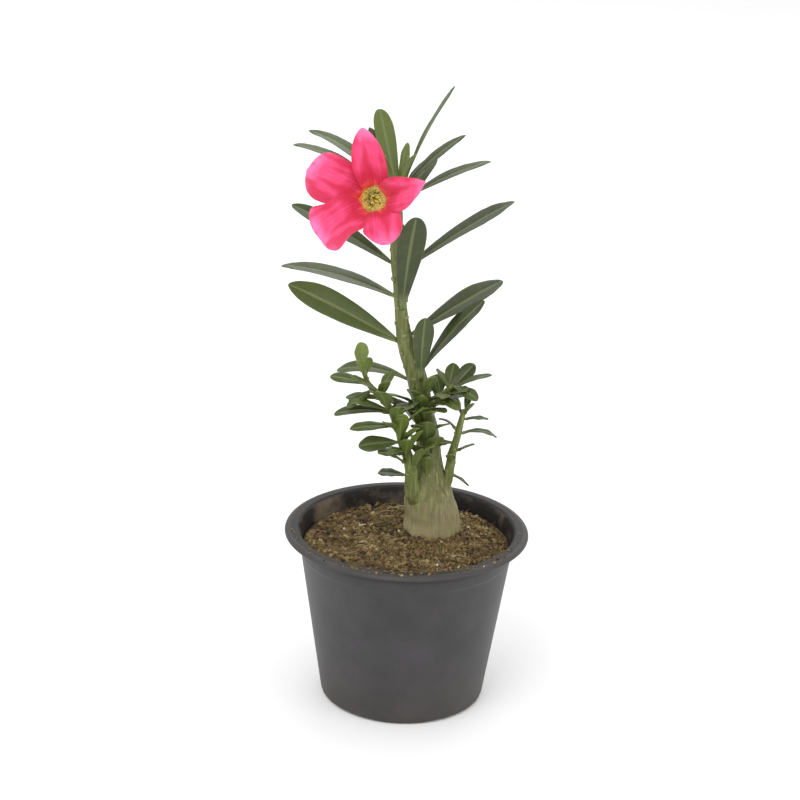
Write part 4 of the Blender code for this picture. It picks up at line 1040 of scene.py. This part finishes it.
def blade_tree():
    """A leaf, petal or sepal: a closed blade along +X from its foot, bent, folded, twisted and ruffled.

    It starts as a cylinder whose length runs from foot to tip and whose section is flattened. Each step
    has a name, an operation and what it works on: numbers, the tree's inputs and the steps before it.
    """
    tree, given = new_tree("blade", {
        "Length": "Float", "Width": "Float", "Root": "Float", "Foot Share": "Float", "Peak": "Float",
        "Bluntness": "Float", "Arch": "Float", "Fold": "Float", "Cup": "Float", "Twist": "Float",
        "Sway": "Float", "Ruffle": "Float", "Ruffles": "Float", "Phase": "Float", "Crinkle": "Float",
        "Crinkle Size": "Float", "Thickness": "Float", "Stalk": "Float", "Rib": "Float",
        "Points Round": "Int", "Rings": "Int", "Youth": "Float",
        "Location": "Vector", "Rotation": "Vector", "Material": "Material",
    })
    core = add(tree, "GeometryNodeMeshCylinder", {
        "Vertices": given["Points Round"], "Side Segments": given["Rings"], "Radius": 1.0, "Depth": 1.0},
        fill_type="TRIANGLE_FAN")
    place = add(tree, "ShaderNodeSeparateXYZ", [add(tree, "GeometryNodeInputPosition")])
    uneven = add(tree, "ShaderNodeTexNoise", {"Detail": 1.5})
    known = {socket.name: socket for socket in given}
    known |= dict(zip(("across", "upright", "lengthways", "uneven"), (*place.outputs, uneven)))
    for name, operation, *values in (
        # Rings crowd towards the tip, where the outline turns fastest, and points towards the midrib.
        ("left", "SUBTRACT", 0.5, "lengthways"),
        ("left", "MAXIMUM", "left", 0.0),
        ("left", "POWER", "left", 1.6),
        ("crowded", "SUBTRACT", 1.0, "left"),
        ("root", "DIVIDE", "Root", "Length"),
        ("whole", "ADD", "root", 1.0),
        ("buried", "MULTIPLY", "root", -1.0),
        ("along", "MULTIPLY_ADD", "crowded", "whole", "buried"),
        ("blade", "MAXIMUM", "along", 0.0),
        ("to_tip", "SUBTRACT", 1.0, "blade"),
        ("hand", "SIGN", "across"),
        ("breadth", "ABSOLUTE", "across"),
        ("breadth", "POWER", "breadth", 1.3),
        ("side", "MULTIPLY", "hand", "breadth"),
        ("off", "ABSOLUTE", "side"),
        # Outline: a stalk that runs out towards the tip, and a belly.
        ("stalk", "MULTIPLY", "Foot Share", "to_tip"),
        ("hump", "POWER", "blade", "Peak"),
        ("hump", "MULTIPLY", "hump", math.pi),
        ("hump", "SINE", "hump"),
        ("hump", "MAXIMUM", "hump", 0.0),
        ("belly", "POWER", "hump", "Bluntness"),
        ("beyond", "SUBTRACT", 1.0, "stalk"),
        ("outline", "MULTIPLY_ADD", "belly", "beyond", "stalk"),
        ("outline", "MAXIMUM", "outline", 0.012),
        ("half", "MULTIPLY", "Width", 0.5),
        ("share", "MULTIPLY", "side", "outline"),
        ("sideways", "MULTIPLY", "share", "half"),
        # Height over the midrib: the fold, the cup, and ruffles and crinkles that grow towards the tip.
        ("folded", "ABSOLUTE", "sideways"),
        ("folded", "MULTIPLY", "folded", "Fold"),
        ("square", "MULTIPLY", "off", "off"),
        ("cup", "MULTIPLY", "Cup", "outline"),
        ("cup", "MULTIPLY", "square", "cup"),
        ("right", "GREATER_THAN", "side", 0.0),
        ("lean", "MULTIPLY_ADD", "right", 1.9, "Phase"),
        ("swing", "MULTIPLY", "Ruffles", "blade"),
        ("swing", "MULTIPLY_ADD", "swing", math.tau, "lean"),
        ("swing", "SINE", "swing"),
        ("edge", "POWER", "off", 1.8),
        ("edge", "MULTIPLY", "swing", "edge"),
        ("ruffle", "MULTIPLY", "Ruffle", "blade"),
        ("ruffle", "MULTIPLY", "edge", "ruffle"),
        ("distance", "MULTIPLY", "along", "Length"),
        ("fineness", "DIVIDE", 1.0, "Crinkle Size"),
        ("uneven", "SUBTRACT", "uneven", 0.5),
        ("crinkle", "MULTIPLY", "Crinkle", "blade"),
        ("crinkle", "MULTIPLY", "uneven", "crinkle"),
        ("lift", "ADD", "folded", "cup"),
        ("waves", "ADD", "ruffle", "crinkle"),
        ("lift", "ADD", "lift", "waves"),
        # Thickness: thin at the edge and tip, stout at the stalk. The midrib is a groove above and a
        # ridge below.
        ("thin", "MULTIPLY", "outline", 4.0),
        ("thin", "MINIMUM", "thin", 1.0),
        ("stout", "MULTIPLY", "along", "along"),
        ("stout", "MULTIPLY", "stout", -170.0),
        ("stout", "EXPONENT", "stout"),
        ("stout", "MULTIPLY_ADD", "stout", "Stalk", 1.0),
        ("stout", "MULTIPLY", "thin", "stout"),
        ("body", "MULTIPLY", "Thickness", 0.5),
        ("body", "MULTIPLY", "body", "stout"),
        ("ribbed", "MULTIPLY", "side", "side"),
        ("ribbed", "MULTIPLY", "ribbed", -45.0),
        ("ribbed", "EXPONENT", "ribbed"),
        ("ribbed", "MULTIPLY", "ribbed", "thin"),
        ("groove", "MULTIPLY", "Rib", "to_tip"),
        ("groove", "MULTIPLY", "ribbed", "groove"),
        ("height", "MULTIPLY_ADD", "upright", "body", "lift"),
        ("height", "SUBTRACT", "height", "groove"),
        # Twist about the midrib, then the bend along it and the sway to one side.
        ("turn", "MULTIPLY", "Twist", "along"),
        ("sine", "SINE", "turn"),
        ("cosine", "COSINE", "turn"),
        ("y", "MULTIPLY", "sideways", "cosine"),
        ("sunk", "MULTIPLY", "height", "sine"),
        ("y", "SUBTRACT", "y", "sunk"),
        ("raised", "MULTIPLY", "sideways", "sine"),
        ("height", "MULTIPLY", "height", "cosine"),
        ("height", "ADD", "raised", "height"),
        ("bend", "MULTIPLY", "Arch", "along"),
        ("reach", "DIVIDE", "Length", "Arch"),
        ("outer", "ADD", "reach", "height"),
        ("x", "SINE", "bend"),
        ("x", "MULTIPLY", "outer", "x"),
        ("z", "COSINE", "bend"),
        ("z", "MULTIPLY", "outer", "z"),
        ("z", "SUBTRACT", "z", "reach"),
        ("sway", "MULTIPLY", "Sway", "Length"),
        ("bow", "MULTIPLY", "blade", "blade"),
        ("sway", "MULTIPLY", "sway", "bow"),
        ("y", "ADD", "y", "sway"),
    ):
        values = [known.get(value, value) for value in values]
        known[name] = add(tree, "ShaderNodeMath", values, operation=operation)
    spot = add(tree, "ShaderNodeCombineXYZ", [known["distance"], known["sideways"], given["Phase"]])
    fill(tree, uneven, {"Vector": spot, "Scale": known["fineness"]})
    where = add(tree, "ShaderNodeCombineXYZ", [known["blade"], known["side"], known["upright"]])
    metric = add(tree, "ShaderNodeCombineXYZ", [known["distance"], known["sideways"], 0.0])
    shaped = add(tree, "ShaderNodeCombineXYZ", [known["x"], known["y"], known["z"]])
    stored = core
    for name, value, kind in (
        ("blade", where, "FLOAT_VECTOR"),
        ("span", metric, "FLOAT_VECTOR"),
        ("youth", given["Youth"], "FLOAT"),
    ):
        stored = add(tree, "GeometryNodeStoreNamedAttribute", {
            "Geometry": stored, "Name": name, "Value": value}, data_type=kind, domain="POINT")
    formed = add(tree, "GeometryNodeSetPosition", {"Geometry": stored, "Position": shaped})
    placed = add(tree, "GeometryNodeTransform", {
        "Geometry": formed, "Translation": given["Location"],
        "Rotation": add(tree, "FunctionNodeEulerToRotation", [given["Rotation"]])})
    smooth = add(tree, "GeometryNodeSetShadeSmooth", {"Geometry": placed})
    return close_tree(tree, smooth, given["Material"])


def down_tree():
    """Short hairs on the inner wall of the flower's tube, leaning out of its mouth."""
    tree, given = new_tree("throat down", {
        "Geometry": "Geometry", "Axis": "Vector", "Density": "Float", "Shallowest": "Float",
        "Deepest": "Float", "Hair": "Float", "Seed": "Int", "Material": "Material",
    })
    depth = add(tree, "GeometryNodeInputNamedAttribute", {"Name": "depth"}, data_type="FLOAT")
    inner = add(tree, "GeometryNodeInputNamedAttribute", {"Name": "inner"}, data_type="FLOAT")
    under = add(tree, "FunctionNodeCompare", [
        depth, given["Shallowest"]], data_type="FLOAT", operation="GREATER_THAN")
    over = add(tree, "FunctionNodeCompare", [
        depth, given["Deepest"]], data_type="FLOAT", operation="LESS_THAN")
    wall = add(tree, "FunctionNodeCompare", [inner, 0.9], data_type="FLOAT", operation="GREATER_THAN")
    band = add(tree, "FunctionNodeBooleanMath", [under, over], operation="AND")
    zone = add(tree, "FunctionNodeBooleanMath", [band, wall], operation="AND")
    dots = add(tree, "GeometryNodeDistributePointsOnFaces", {
        "Mesh": given["Geometry"], "Selection": zone, "Density": given["Density"], "Seed": given["Seed"]},
        distribute_method="RANDOM")
    raised = add(tree, "ShaderNodeVectorMath", [given["Axis"], dots.outputs["Normal"]], operation="ADD")
    lean = add(tree, "FunctionNodeRandomValue", {
        "Min": (-0.5, -0.5, -0.5), "Max": (0.5, 0.5, 0.5), "Seed": 3}, data_type="FLOAT_VECTOR")
    course = add(tree, "ShaderNodeVectorMath", [raised, lean], operation="ADD")
    facing = add(tree, "FunctionNodeAlignRotationToVector", {"Vector": course}, axis="Z")
    hair = add(tree, "GeometryNodeMeshCone", {
        "Vertices": 4, "Side Segments": 1, "Radius Top": 0.02 * MM, "Radius Bottom": 0.11 * MM,
        "Depth": given["Hair"]})
    sized = add(tree, "FunctionNodeRandomValue", {"Min": 0.6, "Max": 1.3, "Seed": 4}, data_type="FLOAT")
    hairs = add(tree, "GeometryNodeInstanceOnPoints", {
        "Points": dots.outputs["Points"], "Instance": hair, "Rotation": facing, "Scale": sized})
    return close_tree(tree, hairs, given["Material"])


BLADE_DEFAULTS = {
    "Root": 0.0, "Foot Share": 0.16, "Peak": 1.45, "Bluntness": 0.6, "Arch": 0.01, "Fold": 0.0,
    "Cup": 0.0, "Twist": 0.0, "Sway": 0.0, "Ruffle": 0.0, "Ruffles": 1.0, "Phase": 0.0, "Crinkle": 0.0,
    "Crinkle Size": 6 * MM, "Stalk": 0.0, "Rib": 0.0, "Points Round": 24, "Rings": 24, "Youth": 0.0,
}


def blade_mesh(place, values):
    """The mesh of one blade that stands at this 4 x 4 placing."""
    host = new_object("blade")
    spot = {"Location": place.to_translation(), "Rotation": Vector(place.to_euler())}
    tree = bpy.data.node_groups.get("blade") or blade_tree()
    add_modifier(host, tree, {**BLADE_DEFAULTS, **values, **spot})
    return as_plain_mesh(host)


def turn_and_place(location, roll, rise, azimuth):
    """Placing of a blade whose foot is here and which looks this way, in degrees."""
    angles = (math.radians(roll), -math.radians(rise), math.radians(azimuth))
    return Matrix.Translation(location) @ Euler(angles).to_matrix().to_4x4()


def stem_point(stem, height):
    """Centre and radius of a stem at a height, in metres."""
    stations = STEMS[stem]
    upper = next((i for i, s in enumerate(stations) if s[2] * MM >= height), len(stations) - 1)
    low, high = stations[max(upper, 1) - 1], stations[max(upper, 1)]
    share = min(1, (height / MM - low[2]) / (high[2] - low[2]))
    mixed = [a + (b - a) * share for a, b in zip(low, high)]
    return Vector(mixed[:3]) * MM, mixed[3] * MM


def leaf_mesh(row, leaves, chance, foot_share, peak, bluntness):
    """One leaf, rooted in its stem, with its own small chances of curl and twist."""
    stem, height, azimuth, rise, size, width, arch, roll, youth = row
    centre, radius = stem_point(stem, height * MM)
    turn = math.radians(azimuth)
    foot = centre + Vector((math.cos(turn), math.sin(turn), 0)) * (radius + LEAF_STANDOFF)
    rings = leaves.rings if size > 30 else leaves.rings * 3 // 5
    return blade_mesh(turn_and_place(foot, roll, rise, azimuth), {
        "Length": size * MM, "Width": width * MM, "Root": LEAF_ROOT, "Foot Share": foot_share,
        "Peak": peak * chance.uniform(0.93, 1.07), "Bluntness": bluntness,
        "Arch": math.radians(arch or 3),
        "Fold": leaves.fold, "Cup": chance.uniform(-0.3, 0.2) * MM,
        "Twist": math.radians(chance.uniform(-8, 8)),
        "Sway": chance.uniform(-0.05, 0.05), "Ruffle": chance.uniform(0.1, 0.35) * MM,
        "Ruffles": chance.uniform(1.5, 3), "Phase": chance.uniform(0, 6), "Crinkle": 0.9 * MM,
        "Thickness": leaves.thickness, "Stalk": 1.4, "Rib": leaves.rib, "Points Round": leaves.rounds,
        "Rings": rings, "Youth": youth,
    })


def stem_mesh(stations, values):
    """A stem along stations of (x, y, z, radius), in millimetres."""
    mesh = bpy.data.meshes.new("stem")
    links = [(i, i + 1) for i in range(len(stations) - 1)]
    mesh.from_pydata([Vector(s[:3]) * MM for s in stations], links, [])
    girth = mesh.attributes.new("girth", "FLOAT", "POINT")
    girth.data.foreach_set("value", [s[3] * MM for s in stations])
    host = new_object("stem", mesh)
    add_modifier(host, bpy.data.node_groups.get("stem") or stem_tree(), values)
    return as_plain_mesh(host)


def flower_axis():
    """Placing of the flower: in the middle of the tube's mouth, +Z out of the flower."""
    angles = (math.radians(90 - FLOWER_LIFT), 0, math.radians(FLOWER_TURN))
    return Matrix.Translation(FLOWER_PLACE) @ Euler(angles).to_matrix().to_4x4()


# Operators


class DESERTROSE_OT_pot(bpy.types.Operator):
    """Turn the nursery pot and cut its drains and foot notches"""
    bl_idname = "desert_rose.pot"
    bl_label = "Pot"

    def execute(self, context):
        pot = context.scene.desert_rose.pot
        host = turned("pot", rounded(pot_profile(), pot.corner), pot.sides)
        add_modifier(host, pot_tree(), {
            "Drains": DRAINS, "Drain Circle": DRAIN_CIRCLE, "Drain Radius": DRAIN_RADIUS,
            "Notches": FEET, "Notch Circle": NOTCH_START + NOTCH[0] / 2,
            "Notch Size": (NOTCH[0], NOTCH[1], 2 * NOTCH[2]),
            "Material": moulded_polypropylene(pot),
        })
        mesh = as_plain_mesh(host)
        mesh.shade_smooth()
        mesh.set_sharp_from_angle(angle=math.radians(50))
        finish_piece("moulded_pot", mesh, ["pot"])
        return {"FINISHED"}


class DESERTROSE_OT_soil(bpy.types.Operator):
    """Fill the pot with potting mix and strew its loose crumbs, chips and fibres"""
    bl_idname = "desert_rose.soil"
    bl_label = "Soil"

    def execute(self, context):
        soil = context.scene.desert_rose.soil
        low = wall_radius(SOIL_BASE) - WALL - SOIL_SIDE_GAP
        side = wall_radius(SOIL_LEVEL) - WALL - SOIL_SIDE_GAP
        profile = [(side * i / SOIL_RINGS, SOIL_LEVEL) for i in range(SOIL_RINGS + 1)]
        profile += [(side - 0.9 * MM, SOIL_LEVEL - 5 * MM), (low - 0.2 * MM, SOIL_BASE + 2 * MM)]
        profile += [(low - 2 * MM, SOIL_BASE), (0, SOIL_BASE)]
        host = turned("soil", profile, SOIL_SIDES)
        reach = side - SOIL_BARE_EDGE
        area = math.pi * reach * reach
        add_modifier(host, soil_tree(), {
            "Level": SOIL_LEVEL - 0.01 * MM, "Mound": soil.mound, "Spread": soil.spread,
            "Rough": soil.rough, "Foot": TRUNK_FOOT, "Reach": reach, "Crumb": soil.crumb,
            "Spacing": soil.spacing, "Fibres": soil.fibres / area, "Chips": soil.chips / area,
            "Grains": soil.grains / area, "Spilt": soil.spilt, "Lip": LIP_FLAT, "Seed": SEED,
            "Material": potting_mix(soil),
        })
        finish_piece("potting_mix", as_plain_mesh(host), ["potting_soil"])
        return {"FINISHED"}


class DESERTROSE_OT_stems(bpy.types.Operator):
    """Grow the caudex and trunk, the side stems and the flower's stalk"""
    bl_idname = "desert_rose.stems"
    bl_label = "Stems"

    def execute(self, context):
        stems = context.scene.desert_rose.stems
        bark = living_bark(stems, "caudex bark", True)
        green = living_bark(stems, "green stem skin", False)
        common = {"Sides": stems.sides, "Step": stems.step, "Material": green}
        trunk = {"Lump": 0.34, "Lump Size": 17 * MM, "Ridge": 0.9 * MM, "Material": bark}
        trunk |= {"Scars": 46, "Scar Size": 1.9 * MM, "Scar Start": 0.4}
        branch = {"Lump": 0.4, "Lump Size": 6 * MM, "Ridge": 0.35 * MM}
        branch |= {"Scars": 12, "Scar Size": 1.1 * MM, "Scar Start": 0.2}
        for name, stations in STEMS.items():
            if name == "trunk":
                mesh = stem_mesh(stations, common | trunk)
                finish_piece("caudex_and_trunk", mesh, [name])
                continue
            mesh = stem_mesh(stations, common | branch | {"Sides": stems.sides // 2})
            finish_piece(name.replace("branch", "shoot"), mesh, [name])
        axis = flower_axis()
        start, radius = stem_point("trunk", 243 * MM)
        foot = axis @ Vector((0, 0, -TUBE_LENGTH + 1 * MM))
        before = axis @ Vector((0, 0, -TUBE_LENGTH - 3 * MM))
        bend = start.lerp(before, 0.6) + Vector((0, -0.4, -0.8)) * MM
        route = zip((start, bend, before, foot), (1.1, 1.15, 1.35, 1.9))
        stations = [(*(point / MM), size) for point, size in route]
        stalk = {"Lump": 0.2, "Lump Size": 4 * MM, "Ridge": 0.1 * MM, "Scars": 3, "Scar Size": 0.5 * MM}
        mesh = stem_mesh(stations, common | stalk | {"Sides": 24, "Scar Start": 0.5})
        finish_piece("flower_stem", mesh, ["flower_stalk"])
        return {"FINISHED"}


class DESERTROSE_OT_leaves(bpy.types.Operator):
    """Grow every leaf from its place on its stem"""
    bl_idname = "desert_rose.leaves"
    bl_label = "Leaves"

    def execute(self, context):
        leaves = context.scene.desert_rose.leaves
        wax = waxy_leaf(leaves)
        chance = random.Random(SEED)
        for name, row in LEAVES.items():
            usual = (0.16, 1.5, 0.72 if name.startswith("crown") else 0.56)
            mesh = leaf_mesh(row, leaves, chance, *ODD_LEAVES.get(name, usual))
            finish_piece(name + "_leaf", mesh, ["leaf_" + name], wax)
        rows = [(stem, *row) for stem, *group in LEAFLETS for row in group]
        leaflets = [leaf_mesh(row, leaves, chance, 0.16, 1.5, 0.5) for row in rows]
        finish_piece("young_leaflets", joined(leaflets), [], wax)
        return {"FINISHED"}


class DESERTROSE_OT_petals(bpy.types.Operator):
    """Open the flower's five petals"""
    bl_idname = "desert_rose.petals"
    bl_label = "Petals"

    def execute(self, context):
        flower = context.scene.desert_rose.flower
        skin = petal_skin(flower)
        axis = flower_axis()
        for name, values in PETALS.items():
            direction, size, width, rise, roll, arch, fold, twist, *values = values
            ruffle, ruffles, phase, sway, peak, bluntness = values
            turn = math.radians(direction)
            out, up = PETAL_FOOT
            foot = Vector((math.cos(turn) * out, math.sin(turn) * out, up))
            mesh = blade_mesh(axis @ turn_and_place(foot, roll, rise, direction), {
                "Length": size * MM, "Width": width * MM, "Root": 0.4 * MM, "Foot Share": 0.72,
                "Peak": peak, "Bluntness": bluntness, "Arch": math.radians(arch), "Fold": fold,
                "Twist": math.radians(twist), "Sway": sway, "Ruffle": ruffle * MM, "Ruffles": ruffles,
                "Phase": phase, "Crinkle": 2.4 * MM, "Crinkle Size": 7 * MM,
                "Thickness": flower.thickness, "Stalk": 0.3, "Rib": 0.25 * MM,
                "Points Round": 64, "Rings": 56, "Material": skin,
            })
            finish_piece("pink_petal_" + name, mesh, ["petal_" + name])
        return {"FINISHED"}


class DESERTROSE_OT_throat(bpy.types.Operator):
    """Turn the flower's tube and set the anthers in it"""
    bl_idname = "desert_rose.throat"
    bl_label = "Tube and anthers"

    def execute(self, context):
        flower = context.scene.desert_rose.flower
        axis = flower_axis()
        outside = [(MOUTH_OUTER * share, TUBE_LENGTH * up) for up, share in TUBE_STATIONS]
        inside = [(r - TUBE_WALL, z + 0.3 * MM) for r, z in reversed(outside[:-1])]
        profile = [(0, inside[0][1] - 1 * MM)] + inside + outside + [(0, -TUBE_LENGTH)]
        mesh = as_plain_mesh(turned("tube", rounded(profile, 2 * MM, 5), 80))
        depth = mesh.attributes.new("depth", "FLOAT", "POINT")
        inner = mesh.attributes.new("inner", "FLOAT", "POINT")
        for vert, value, side in zip(mesh.vertices, depth.data, inner.data):
            value.value = 0.06 - vert.co.z / TUBE_LENGTH
            side.value = float(vert.normal.xy.dot(vert.co.xy) < 0)
            lobe = math.cos(5 * (math.atan2(vert.co.y, vert.co.x) - math.radians(18)))
            vert.co.z += 0.5 * MM * lobe * max(0, 1 + vert.co.z / (4 * MM))
        mesh.transform(axis)
        host = new_object("down", mesh.copy())
        add_modifier(host, down_tree(), {
            "Axis": axis.to_3x3() @ Vector((0, 0, 1)), "Density": flower.hairs, "Shallowest": 0.1,
            "Deepest": 0.45, "Hair": 3.2 * MM, "Seed": SEED,
        })
        parts = [as_plain_mesh(host)]
        finish_piece("flower_tube", mesh, ["corolla_tube"], throat_skin(flower))
        low = -0.42 * TUBE_LENGTH
        for i in range(5):
            for kind in ("anther", "tail"):
                turn = 72 * i + (36 if kind == "tail" else 0)
                out = Vector((math.cos(math.radians(turn)), math.sin(math.radians(turn)), 0))
                anther = kind == "anther"
                up = low if anther else low + 5 * MM
                foot = out * (3.2 if anther else 1.8) * MM + Vector((0, 0, up))
                parts.append(blade_mesh(axis @ turn_and_place(foot, 0, 98 if anther else 80, turn), {
                    "Length": (9 if anther else 6) * MM, "Width": (5.2 if anther else 1.3) * MM,
                    "Foot Share": 0.5, "Peak": 0.7, "Bluntness": 0.8,
                    "Arch": math.radians(4 if anther else -35), "Fold": -0.3, "Ruffle": 0.2 * MM,
                    "Ruffles": 3.0, "Phase": float(i), "Crinkle": 0.3 * MM, "Thickness": 0.5 * MM,
                    "Rib": 0.1 * MM, "Points Round": 16, "Rings": 20, "Twist": math.radians(30),
                }))
        pollen = plain_tissue("anther", flower.throat, flower.anther, 0.7)
        finish_piece("anthers", joined(parts), ["anther_cone"], pollen)
        return {"FINISHED"}


class DESERTROSE_OT_calyx(bpy.types.Operator):
    """Set the five sepals round the foot of the flower's tube"""
    bl_idname = "desert_rose.calyx"
    bl_label = "Sepals"

    def execute(self, context):
        flower = context.scene.desert_rose.flower
        axis = flower_axis()
        parts = []
        for i in range(5):
            turn = 72 * i + 36
            out = Vector((math.cos(math.radians(turn)), math.sin(math.radians(turn)), 0))
            foot = out * 2.3 * MM + Vector((0, 0, -TUBE_LENGTH - 0.6 * MM))
            parts.append(blade_mesh(axis @ turn_and_place(foot, 0, 78, turn), {
                "Length": 8.2 * MM, "Width": 3.6 * MM, "Root": 1 * MM, "Foot Share": 0.7, "Peak": 0.75,
                "Bluntness": 0.9, "Arch": math.radians(-12), "Fold": 0.3, "Thickness": 0.6 * MM,
                "Stalk": 0.6, "Rib": -0.2 * MM, "Points Round": 20, "Rings": 20,
            }))
        cup = [(0, -0.4), (2.5, -0.2), (3.0, -0.7), (2.9, -1.6), (2.0, -2.4), (0, -2.6)]
        profile = [(r * MM, z * MM - TUBE_LENGTH + 0.4 * MM) for r, z in cup]
        receptacle = as_plain_mesh(turned("receptacle", rounded(profile, 0.6 * MM), 32))
        receptacle.transform(axis)
        green = plain_tissue("sepal", flower.sepal, linear("#7f6a3c"), 0.55)
        finish_piece("sepals", joined([*parts, receptacle]), ["calyx"], green)
        return {"FINISHED"}


class DESERTROSE_OT_stage(bpy.types.Operator):
    """Lay the floor, set the lights and place the camera"""
    bl_idname = "desert_rose.stage"
    bl_label = "Stage"

    def execute(self, context):
        stage = context.scene.desert_rose.stage
        scene = context.scene
        bpy.ops.mesh.primitive_plane_add(size=stage.reach)
        floor = context.active_object
        floor.name = "studio_floor"
        floor.data.materials.append(seamless_paper(stage))
        world = bpy.data.worlds.new("white surround")
        world.use_nodes = True
        world.node_tree.nodes["Background"].inputs["Color"].default_value = (1, 1, 1, 1)
        world.node_tree.nodes["Background"].inputs["Strength"].default_value = stage.sky
        scene.world = world
        scene.view_settings.view_transform = "Standard"
        for name, place, size, power in (
            ("key", (-0.7, -1.1, 1.5), 1.2, stage.key),
            ("fill", (1.2, -0.7, 0.8), 1.0, stage.key * 0.3),
            ("back", (0.3, 1.3, 1.2), 1.2, stage.key * 0.35),
        ):
            lamp = bpy.data.lights.new(name, "AREA")
            lamp.size = size
            lamp.energy = power
            holder = bpy.data.objects.new(name, lamp)
            holder.location = place
            holder.rotation_euler = (LAMP_TARGET - Vector(place)).to_track_quat("-Z", "Y").to_euler()
            scene.collection.objects.link(holder)
        lens = bpy.data.cameras.new("camera")
        lens.sensor_width = 36
        lens.lens = stage.lens
        camera = bpy.data.objects.new("camera", lens)
        lean = Matrix.Rotation(math.radians(CAMERA_LEAN), 4, "Z")
        aim = (CAMERA_TARGET - CAMERA_PLACE).to_track_quat("-Z", "Y").to_matrix().to_4x4()
        camera.matrix_world = Matrix.Translation(CAMERA_PLACE) @ aim @ lean
        scene.collection.objects.link(camera)
        scene.camera = camera
        return {"FINISHED"}


OPERATORS = (
    DESERTROSE_OT_stage, DESERTROSE_OT_pot, DESERTROSE_OT_soil, DESERTROSE_OT_stems, DESERTROSE_OT_leaves,
    DESERTROSE_OT_petals, DESERTROSE_OT_throat, DESERTROSE_OT_calyx,
)


class VIEW3D_PT_desert_rose(bpy.types.Panel):
    """The desert rose's sizes, colours and building steps"""
    bl_idname = "VIEW3D_PT_desert_rose"
    bl_label = "Desert Rose"
    bl_space_type = "VIEW_3D"
    bl_region_type = "UI"
    bl_category = "Desert Rose"

    def draw(self, context):
        rose = context.scene.desert_rose
        for group in RoseSettings.__annotations__:
            box = self.layout.box()
            box.label(text=group.capitalize())
            settings = getattr(rose, group)
            for name in type(settings).__annotations__:
                box.prop(settings, name)
        for operator in OPERATORS:
            self.layout.operator(operator.bl_idname)


CLASSES = (
    PotSettings, SoilSettings, StemSettings, LeafSettings, FlowerSettings, StageSettings, RoseSettings,
    *OPERATORS, VIEW3D_PT_desert_rose,
)


def register():
    for item in CLASSES:
        bpy.utils.register_class(item)
    bpy.types.Scene.desert_rose = PointerProperty(type=RoseSettings)


def unregister():
    del bpy.types.Scene.desert_rose
    for item in reversed(CLASSES):
        bpy.utils.unregister_class(item)


def main():
    """Registers the add-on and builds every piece."""
    register()
    bpy.ops.desert_rose.stage()
    bpy.ops.desert_rose.pot()
    bpy.ops.desert_rose.soil()
    bpy.ops.desert_rose.stems()
    bpy.ops.desert_rose.leaves()
    bpy.ops.desert_rose.petals()
    bpy.ops.desert_rose.throat()
    bpy.ops.desert_rose.calyx()


if __name__ == "__main__":
    main()
